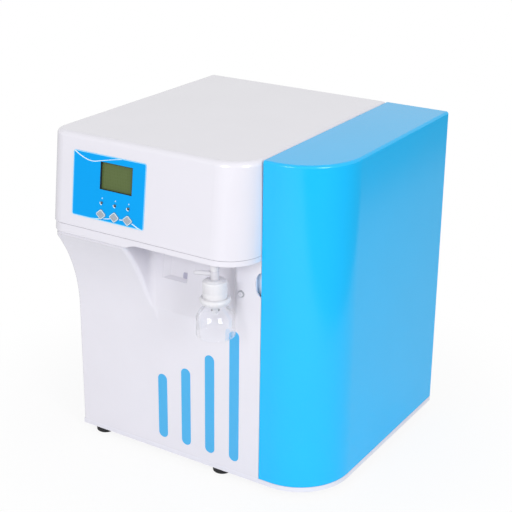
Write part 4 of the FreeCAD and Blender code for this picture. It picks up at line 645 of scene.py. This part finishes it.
class WATERSYSTEM_OT_lamps(bpy.types.Operator):
    """Dome each indicator lamp, paint a white crescent at its lower left as the lens's highlight, and print
    the dash above it
    """

    bl_idname = "watersystem.lamps"
    bl_label = "Indicator lamps"

    def execute(self, context):
        ink = context.scene.water_print.ink_thickness / MM
        radius, wall, flattened, off_centre = 1.9, 0.2, 0.5, 0.7
        glint_radius, glint_width = 2.3, 1.3
        dash_right, dash_up = 1.0, 7.0
        profile = [(radius, 0), (radius, wall)] + arc((0, wall), radius, 0, 90, 8)[1:] + [(0, 0)]
        domes, glints, dashes = bmesh.new(), bmesh.new(), bmesh.new()
        for x in BUTTON_MIDDLES:
            dome = turned(profile, steps=36)
            bmesh.ops.scale(dome, vec=(1, 1, flattened), verts=dome.verts)
            join(domes, dome, x + off_centre, LAMP_UP + off_centre, 0)
            # Each white crescent is a painted highlight on the lamp's lens.
            route = [Vector((*point, 0)) for point in arc((x, LAMP_UP), glint_radius, 150, 300, 15)]
            ribbon(glints, route, lambda point: glint_width, ink)
            dash = slab(rectangle(-0.6, -1.0, 0.6, 1.0), radius=0.5, thickness=ink)
            join(dashes, dash, x + dash_right, LAMP_UP + dash_up, 0)
        bmesh.ops.recalc_face_normals(glints, faces=glints.faces)
        lens, film = on_hood(out=LAMP_FACE), on_hood(out=OVERLAY_FACE)
        piece("lamp_domes", domes, lens, "cabinet", "lamp_lens", "smoked_epoxy")
        piece("lamp_painted_glints", glints, lens, "cabinet", "lamp_lens", "white_ink_and_glint")
        piece("lamp_dashes", dashes, film, "cabinet", "overlay_film", "white_ink_and_glint")
        return {"FINISHED"}


class WATERSYSTEM_OT_dispenser(bpy.types.Operator):
    """Turn the final filter, its ribbed ring and the clear filling bell, and paint the nozzle's shadows as
    two dark marks
    """

    bl_idname = "watersystem.dispenser"
    bl_label = "Dispenser"

    def execute(self, context):
        # The profiles below are (radius from the outlet's axis, height in cabinet millimetres).
        place = upright(*OUTLET)
        self.turn_capsule(place)
        self.turn_collar(place)
        self.paint_nozzle_shadows(place)
        self.turn_bell(place)
        return {"FINISHED"}

    def turn_capsule(self, place):
        """The filter's body: a fluted shell with a groove round its waist, and the nozzle below it."""
        socket, shell, waist, nozzle, bore = 4.5, 17.4, 16.9, 4.3, 2.6
        top, joint, tip = 325.0, 290.0, 274.0
        flutes, flute_root, flute_depth = 48, 17.0, 0.35
        profile = [(socket, joint), (socket, top), (12.0, top), (12.4, 324.2), (14.0, 324.2)]
        profile += arc((14.4, 320.8), 3.0, 90, 0, 6)
        profile += [(shell, 309.0), (waist, 308.4), (waist, 306.6), (shell, 306.0), (shell, 300.6)]
        profile += [(17.1, 290.2), (14.4, joint), (6.6, 282.0), (nozzle, 281.6), (nozzle, 274.4)]
        profile += [(3.9, tip), (bore, tip), (bore, joint)]
        body = turned(profile, steps=4 * flutes, closed=True)
        lobed(body, flute_root, shell, flute_depth, flutes)
        capsule = piece("capsule_body", body, place, "final_filter", "capsule_shell", "polypropylene_white")
        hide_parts("filter_capsule")

    def turn_collar(self, place):
        """The ribbed ring that holds the bell to the filter's body."""
        bore, rib_root, rib_crest = 17.5, 18.8, 22.3
        ribs, rib_depth = 24, 0.45
        profile = [(bore, 290.2), (bore, 299.3), (rib_root, 299.5)]
        profile += arc((18.6, 295.6), 3.7, 90, -30, 9) + [(20.6, 291.2), (19.8, 290.2)]
        ring = turned(profile, steps=6 * ribs, closed=True)
        lobed(ring, rib_root, rib_crest, rib_depth, ribs)
        collar = piece("capsule_collar", ring, place, "final_filter", "capsule_shell", "polypropylene_white")
        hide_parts("capsule_ring")

    def paint_nozzle_shadows(self, place):
        """Two dark marks at the nozzle's sides, painted shadows of the nozzle."""
        from_axis, height, turn = 4.9, 277.6, math.radians(32)
        shadow_marks = bmesh.new()
        for side in (-1, 1):
            edges = rectangle(-1.0, -0.9, 1.0, 0.9)
            shadow_piece = slab(edges, radius=0.6, thickness=3.2, crown=((0.3, 0.2),))
            join(shadow_marks, shadow_piece, side * from_axis, 0, height)
        around = Matrix.Rotation(turn, 3, "Z")
        bmesh.ops.rotate(shadow_marks, cent=(0, 0, 0), matrix=around, verts=shadow_marks.verts)
        piece("nozzle_painted_shadows", shadow_marks, place, "final_filter", "black_rubber", "dark_rubber_and_shadow")

    def turn_bell(self, place):
        """The clear bell: a round shoulder, a straight skirt and a thickened rim."""
        wall, skirt, neck = 1.3, 28.0, 14.7
        # The shoulder ends in a soft crease, which catches the two softboxes.
        outside = [(16.0, 289.9)] + arc((-13.48, 252.73), 44.5, 48.4, 22, 10)
        outside += arc((25.0, 268.28), 3.0, 22, 0, 4) + [(skirt, 250.0), (skirt, 243.4)]
        inside = [(radius - wall, height) for radius, height in reversed(outside[1:])]
        rim = arc((27.2, 242.2), 0.75, 60, -180, 8)
        profile = outside + rim + inside + [(neck, 288.4), (neck, 289.9)]
        bell = turned(profile, steps=96, closed=True)
        clear = piece("clear_bell", bell, place, "final_filter", "clear_bell", "clear_polycarbonate")
        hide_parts("filling_bell")


class WATERSYSTEM_OT_recess_details(bpy.types.Operator):
    """Slope the niche's sides, set the level sensor's window in it and line the finger notch"""

    bl_idname = "watersystem.recess_details"
    bl_label = "Niche and finger notch"

    def execute(self, context):
        niche = upright(*NICHE_FOOT) @ Matrix.Rotation(math.pi / 2 - NICHE_LEAN, 4, "X")
        edges = rectangle(left=11.6, low=5.8, right=18.8, high=14.6)
        window = slab(edges, radius=1.6, thickness=0.5, crown=((0.4, 0.25),))
        piece("sensor_window", window, niche, "cabinet", "lamp_lens", "infrared_filter")
        slopes = self.niche_slopes()
        piece("niche_slopes", slopes, niche, "cabinet", "white_moulding", "gloss_abs_white")
        # A web closes the cove's corner under the left end of the lip, just inside its skin.
        web = upright(6.5, -37.8, 344.8) @ Matrix.Rotation(math.radians(145.2), 4, "X")
        corner = slab([(-4.6, -6.0), (6.0, -6.0), (6.0, 4.0), (2.6, 4.0)], radius=0.3, thickness=1.0)
        piece("lip_corner_web", corner, web, "cabinet", "white_moulding", "gloss_abs_white")
        # The door's grip tongue is upright, 16 mm behind the front.
        tongue = upright(329.6, 16.02, NOTCH_LEVEL) @ STAND
        # The pad's pale colour is painted light on the tongue, which lies in the notch's shade.
        pad = slab(rectangle(-6.4, -22.0, 6.4, 14.5), radius=1.0, thickness=0.2)
        piece("tongue_painted_light_pad", pad, tongue, "side_door", "blue_moulding", "notch_blue_painted_light")
        # A thin wall leads from the notch's left edge back to the tongue.
        slant = Matrix.Rotation(math.atan2(8.15, -2.7), 4, "Z")
        wall = upright(324.25, 11.83, NOTCH_LEVEL) @ slant @ STAND
        # The lining's pale colour is painted light too, where the notch's wall lies in shade.
        lining = slab(rectangle(-4.2, -20.0, 4.2, 14.0), radius=0.6, thickness=0.4)
        piece("notch_lining", lining, wall, "cabinet", "white_moulding", "notch_blue_painted_light")
        return {"FINISHED"}

    def niche_slopes(self):
        """Wedges along the niche's left and lower edge, from the front's level down to its back."""
        half, foot, head = 22.05, 0.7, 69.3
        depth, gap, edge = 4.55, 0.05, 0.1
        upward = Matrix.Rotation(math.pi / 2, 3, "X")
        level = Matrix(((0, 0, 1), (1, 0, 0), (0, 1, 0)))
        slopes = bmesh.new()
        for width, length, turn, start in (
            (11.0, head - foot, upward, (-half, head, gap)),
            (5.0, 2 * half, level, (-half, foot, gap)),
        ):
            wedge = slab([(0, 0), (width, 0), (0, depth)], edge, length)
            bmesh.ops.rotate(wedge, cent=(0, 0, 0), matrix=turn, verts=wedge.verts)
            join(slopes, wedge, *start)
        return slopes


class WATERSYSTEM_OT_fixings(bpy.types.Operator):
    """Give the front screw its recessed head and the rear panel its rows of screws"""

    bl_idname = "watersystem.fixings"
    bl_label = "Fixings"

    def execute(self, context):
        front = upright(*FRONT_SCREW) @ STAND
        head = screw_head(radius=3.7, height=1.5, reach=2.5)
        piece("front_screw_face", head, front, "cabinet", "zinc_steel", "powder_coat_white")
        heads = bmesh.new()
        for x in REAR_SCREW_COLUMNS:
            for z in REAR_SCREW_ROWS:
                join(heads, screw_head(radius=3.2, height=1.4, reach=2.0), -x, z, 0)
        piece("rear_screws", heads, behind(), "cabinet", "zinc_steel", "zinc_plated_steel")
        return {"FINISHED"}


class WATERSYSTEM_OT_door_lining(bpy.types.Operator):
    """Stiffen the door's inner side with a lattice of ribs"""

    bl_idname = "watersystem.door_lining"
    bl_label = "Door ribs"

    def execute(self, context):
        wide, tall, across, up = 210.0, 400.0, 5, 9
        half_rib, height = 0.8, 3.0
        # The door's inner face, and the middle of the lattice on it.
        face, middle_y, middle_z = 435.05, 230.0, 250.0
        bm = bmesh.new()
        # The grid is a square of 1 mm until it is scaled.
        bmesh.ops.create_grid(bm, x_segments=across, y_segments=up, size=0.5)
        bmesh.ops.scale(bm, vec=(wide, tall, 1), verts=bm.verts)
        cells = bm.faces[:]
        bmesh.ops.inset_individual(bm, faces=cells, thickness=half_rib)
        bmesh.ops.delete(bm, geom=cells, context="FACES")
        raise_faces(bm, bm.faces[:], height)
        bmesh.ops.recalc_face_normals(bm, faces=bm.faces)
        inward = Matrix(((0, 0, -1, face), (-1, 0, 0, middle_y), (0, 1, 0, middle_z), (0, 0, 0, 1)))
        piece("door_ribs", bm, upright() @ inward, "side_door", "blue_moulding", "gloss_abs_blue")
        return {"FINISHED"}


class WATERSYSTEM_OT_cartridge_trim(bpy.types.Operator):
    """Close each cartridge with its two lobed blue end bands"""

    bl_idname = "watersystem.cartridge_trim"
    bl_label = "Cartridge trim"

    def execute(self, context):
        seat, edge, crest, bevel = 33.9, 34.3, 34.9, 0.6
        lobes, lobe_depth = 36, 0.5
        for i, (x, y) in enumerate(CARTRIDGES, start=1):
            bands = bmesh.new()
            for low, high in CARTRIDGE_BANDS:
                profile = [(seat, low), (edge, low), (crest, low + bevel)]
                profile += [(crest, high - bevel), (edge, high), (seat, high)]
                band = turned(profile, steps=4 * lobes, closed=True)
                join(bands, lobed(band, edge, crest, lobe_depth, lobes))
            name, body = f"cartridge_band_{i}", f"cartridge_{i}"
            piece(name, bands, upright(x, y, 0), body, "blue_moulding", "gloss_abs_blue")
        return {"FINISHED"}


class WATERSYSTEM_OT_feet(bpy.types.Operator):
    """Turn the rubber feet, rounded at the table and hollow underneath"""

    bl_idname = "watersystem.feet"
    bl_label = "Feet"

    def execute(self, context):
        bore, rim, sole_inside, hollow = 2.0, 15.6, 6.4, 5.4
        # Heights from the underside of the pan down.
        seat, bore_end, hollow_end, table = 0, -5.5, -8.4, -11.0
        profile = [(bore, seat), (rim, seat), (rim, -1.2), (15.2, -1.8)]
        profile += arc((13.3, -9.5), 1.5, 0, -90, 6)
        profile += [(sole_inside, table), (5.8, -10.6), (hollow, hollow_end), (0, hollow_end)]
        profile += [(0, bore_end), (bore, bore_end)]
        feet = bmesh.new()
        for x, y in FEET:
            join(feet, turned(profile, steps=64, closed=True), x, y, 0)
        rubber = piece("rubber_feet", feet, upright(), "cabinet", "black_rubber", "dark_rubber_and_shadow")
        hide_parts("feet")
        return {"FINISHED"}


class WATERSYSTEM_OT_rear_marks(bpy.types.Operator):
    """Mark the rocker's upper face with a bar and its lower face with a ring"""

    bl_idname = "watersystem.rear_marks"
    bl_label = "Switch marks"

    def execute(self, context):
        ink = context.scene.water_print.ink_thickness / MM
        bar = slab(rectangle(-0.4, -2.0, 0.4, 2.0), radius=0.35, thickness=ink)
        ring = outline_ring(rectangle(-1.8, -1.8, 1.8, 1.8), radius=1.79, width=0.55, thickness=ink)
        rocker_middle = -60.0
        # Each mark lies flat on its own face of the rocker: height, distance out and lean in degrees.
        for name, bm, up, out, lean in (
            ("rocker_bar", bar, 111.46, 2.18, 29.2),
            ("rocker_ring", ring, 103.0, 0.68, -9.2),
        ):
            place = behind(rocker_middle, up, out) @ Matrix.Rotation(math.radians(lean), 4, "X")
            piece(name, bm, place, "power_rocker", "black_plastic", "white_ink_and_glint")
        return {"FINISHED"}


class WATERSYSTEM_OT_stage(bpy.types.Operator):
    """Set the floor, the soft light and the camera"""

    bl_idname = "watersystem.stage"
    bl_label = "Stage"

    def execute(self, context):
        scene = context.scene
        settings = scene.water_stage
        scene.view_settings.view_transform = "Standard"
        self.make_floor(scene)
        self.make_world(scene, settings.fill)
        self.make_softbox(scene, "softbox_front", (-0.07, -2.05, 1.15), settings.front_lamp)
        self.make_softbox(scene, "softbox_side", (1.79, -0.99, 1.25), settings.side_lamp)
        self.make_camera(scene)
        return {"FINISHED"}

    def make_floor(self, scene):
        """A floor of 12 m that shows white to the camera, apart from the object's shadow."""
        bm = bmesh.new()
        bmesh.ops.create_grid(bm, x_segments=1, y_segments=1, size=6)
        mesh = bpy.data.meshes.new("floor")
        bm.to_mesh(mesh)
        bm.free()
        floor = bpy.data.objects.new("floor", mesh)
        scene.collection.objects.link(floor)
        # White paper on a grey studio floor; the paper ends 0.8 m to the right of the object.
        tree, shader, place = start_material("white_paper", {"Roughness": 0.9, "Specular IOR Level": 0.1})
        split = add_node(tree, "ShaderNodeSeparateXYZ", {}, {"Vector": place})
        edge = add_node(
            tree, "ShaderNodeMapRange", {"From Min": 0.78, "From Max": 0.84}, {"Value": split.outputs[0]}
        )
        tone = add_node(
            tree, "ShaderNodeMix", {"data_type": "RGBA", 6: linear("#F2F2F4"), 7: linear("#84848A")},
            {0: edge.outputs[0]},
        )
        # Part of the shadow shows near the object, none of it beyond 0.6 m.
        reach = add_node(tree, "ShaderNodeVectorMath", {"operation": "LENGTH"}, {"Vector": place})
        fade = add_node(
            tree, "ShaderNodeMapRange",
            {"interpolation_type": "SMOOTHSTEP", "From Min": 0.25, "From Max": 0.6, "To Min": 0.88},
            {"Value": reach.outputs["Value"]},
        )
        path = add_node(tree, "ShaderNodeLightPath")
        share = add_node(
            tree, "ShaderNodeMath", {"operation": "MULTIPLY"},
            {0: path.outputs["Is Camera Ray"], 1: fade.outputs[0]},
        )
        glow = add_node(tree, "ShaderNodeEmission", {"Color": (1, 1, 1, 1), "Strength": 1.0})
        blend = add_node(
            tree, "ShaderNodeMixShader", {},
            {0: share.outputs[0], 1: shader.outputs["BSDF"], 2: glow.outputs["Emission"]},
        )
        tree.links.new(tone.outputs[2], shader.inputs["Base Color"])
        tree.links.new(blend.outputs[0], tree.nodes["Material Output"].inputs["Surface"])
        mesh.materials.append(bpy.data.materials["white_paper"])

    def make_world(self, scene, fill):
        """Light from all round, behind which the camera sees plain white."""
        world = bpy.data.worlds.new("studio")
        scene.world = world
        world.use_nodes = True
        tree = world.node_tree
        tree.nodes.clear()
        lighting = add_node(tree, "ShaderNodeBackground", {"Color": (1, 1, 1, 1), "Strength": fill})
        seen = add_node(tree, "ShaderNodeBackground", {"Color": (1, 1, 1, 1), "Strength": 1.0})
        path = add_node(tree, "ShaderNodeLightPath")
        # The camera, mirrored views and views through clear pieces all see plain white.
        mirrored = add_node(
            tree, "ShaderNodeMath", {"operation": "MAXIMUM"},
            {0: path.outputs["Is Glossy Ray"], 1: path.outputs["Is Transmission Ray"]},
        )
        either = add_node(
            tree, "ShaderNodeMath", {"operation": "MAXIMUM"},
            {0: path.outputs["Is Camera Ray"], 1: mirrored.outputs[0]},
        )
        blend = add_node(
            tree, "ShaderNodeMixShader", {},
            {0: either.outputs[0], 1: lighting.outputs[0], 2: seen.outputs[0]},
        )
        add_node(tree, "ShaderNodeOutputWorld", {}, {"Surface": blend.outputs[0]})

    def make_softbox(self, scene, name, place, power):
        """A square lamp that looks at a point near the middle of the object."""
        light = bpy.data.lights.new(name, "AREA")
        light.size = 0.7
        light.energy = power
        lamp = bpy.data.objects.new(name, light)
        lamp.location = place
        aim = Vector((0, 0, 0.28)) - lamp.location
        lamp.rotation_euler = aim.to_track_quat("-Z", "Y").to_euler()
        scene.collection.objects.link(lamp)

    def make_camera(self, scene):
        """A long lens that looks down at the front from the right."""
        data = bpy.data.cameras.new("camera")
        data.lens = 84.26
        data.sensor_width = 36
        data.shift_y = 0.0664
        data.clip_start = 0.05
        camera = bpy.data.objects.new("camera", data)
        camera.location = (0.93442, -1.4373, 0.9865)
        yaw, pitch = math.radians(32.83), math.radians(23.71)
        level = math.cos(pitch)
        ahead = Vector((-math.sin(yaw) * level, math.cos(yaw) * level, -math.sin(pitch)))
        camera.rotation_euler = ahead.to_track_quat("-Z", "Y").to_euler()
        scene.collection.objects.link(camera)
        scene.camera = camera


OPERATORS = (
    WATERSYSTEM_OT_finishes,
    WATERSYSTEM_OT_overlay_print,
    WATERSYSTEM_OT_display,
    WATERSYSTEM_OT_keys,
    WATERSYSTEM_OT_lamps,
    WATERSYSTEM_OT_dispenser,
    WATERSYSTEM_OT_recess_details,
    WATERSYSTEM_OT_fixings,
    WATERSYSTEM_OT_door_lining,
    WATERSYSTEM_OT_cartridge_trim,
    WATERSYSTEM_OT_feet,
    WATERSYSTEM_OT_rear_marks,
    WATERSYSTEM_OT_stage,
)


class WATERSYSTEM_PT_panel(bpy.types.Panel):
    """The water system's settings and the steps that make it"""

    bl_idname = "WATERSYSTEM_PT_panel"
    bl_label = "Water System"
    bl_space_type = "VIEW_3D"
    bl_region_type = "UI"
    bl_category = "Water System"

    def draw(self, context):
        scene = context.scene
        for group in (scene.water_colours, scene.water_print, scene.water_stage):
            for name in group.__annotations__:
                self.layout.prop(group, name)
        for operator in OPERATORS:
            self.layout.operator(operator.bl_idname)


GROUPS = {
    "water_colours": WaterSystemColours,
    "water_print": WaterSystemPrint,
    "water_stage": WaterSystemStage,
}


def register():
    for group in GROUPS.values():
        bpy.utils.register_class(group)
    for name, group in GROUPS.items():
        setattr(bpy.types.Scene, name, PointerProperty(type=group))
    for operator in OPERATORS:
        bpy.utils.register_class(operator)
    bpy.utils.register_class(WATERSYSTEM_PT_panel)


def unregister():
    bpy.utils.unregister_class(WATERSYSTEM_PT_panel)
    for operator in reversed(OPERATORS):
        bpy.utils.unregister_class(operator)
    for name in GROUPS:
        delattr(bpy.types.Scene, name)
    for group in GROUPS.values():
        bpy.utils.unregister_class(group)


def main():
    register()
    for operator in OPERATORS:
        family, step = operator.bl_idname.split(".")
        getattr(getattr(bpy.ops, family), step)()


if __name__ == "__main__":
    main()
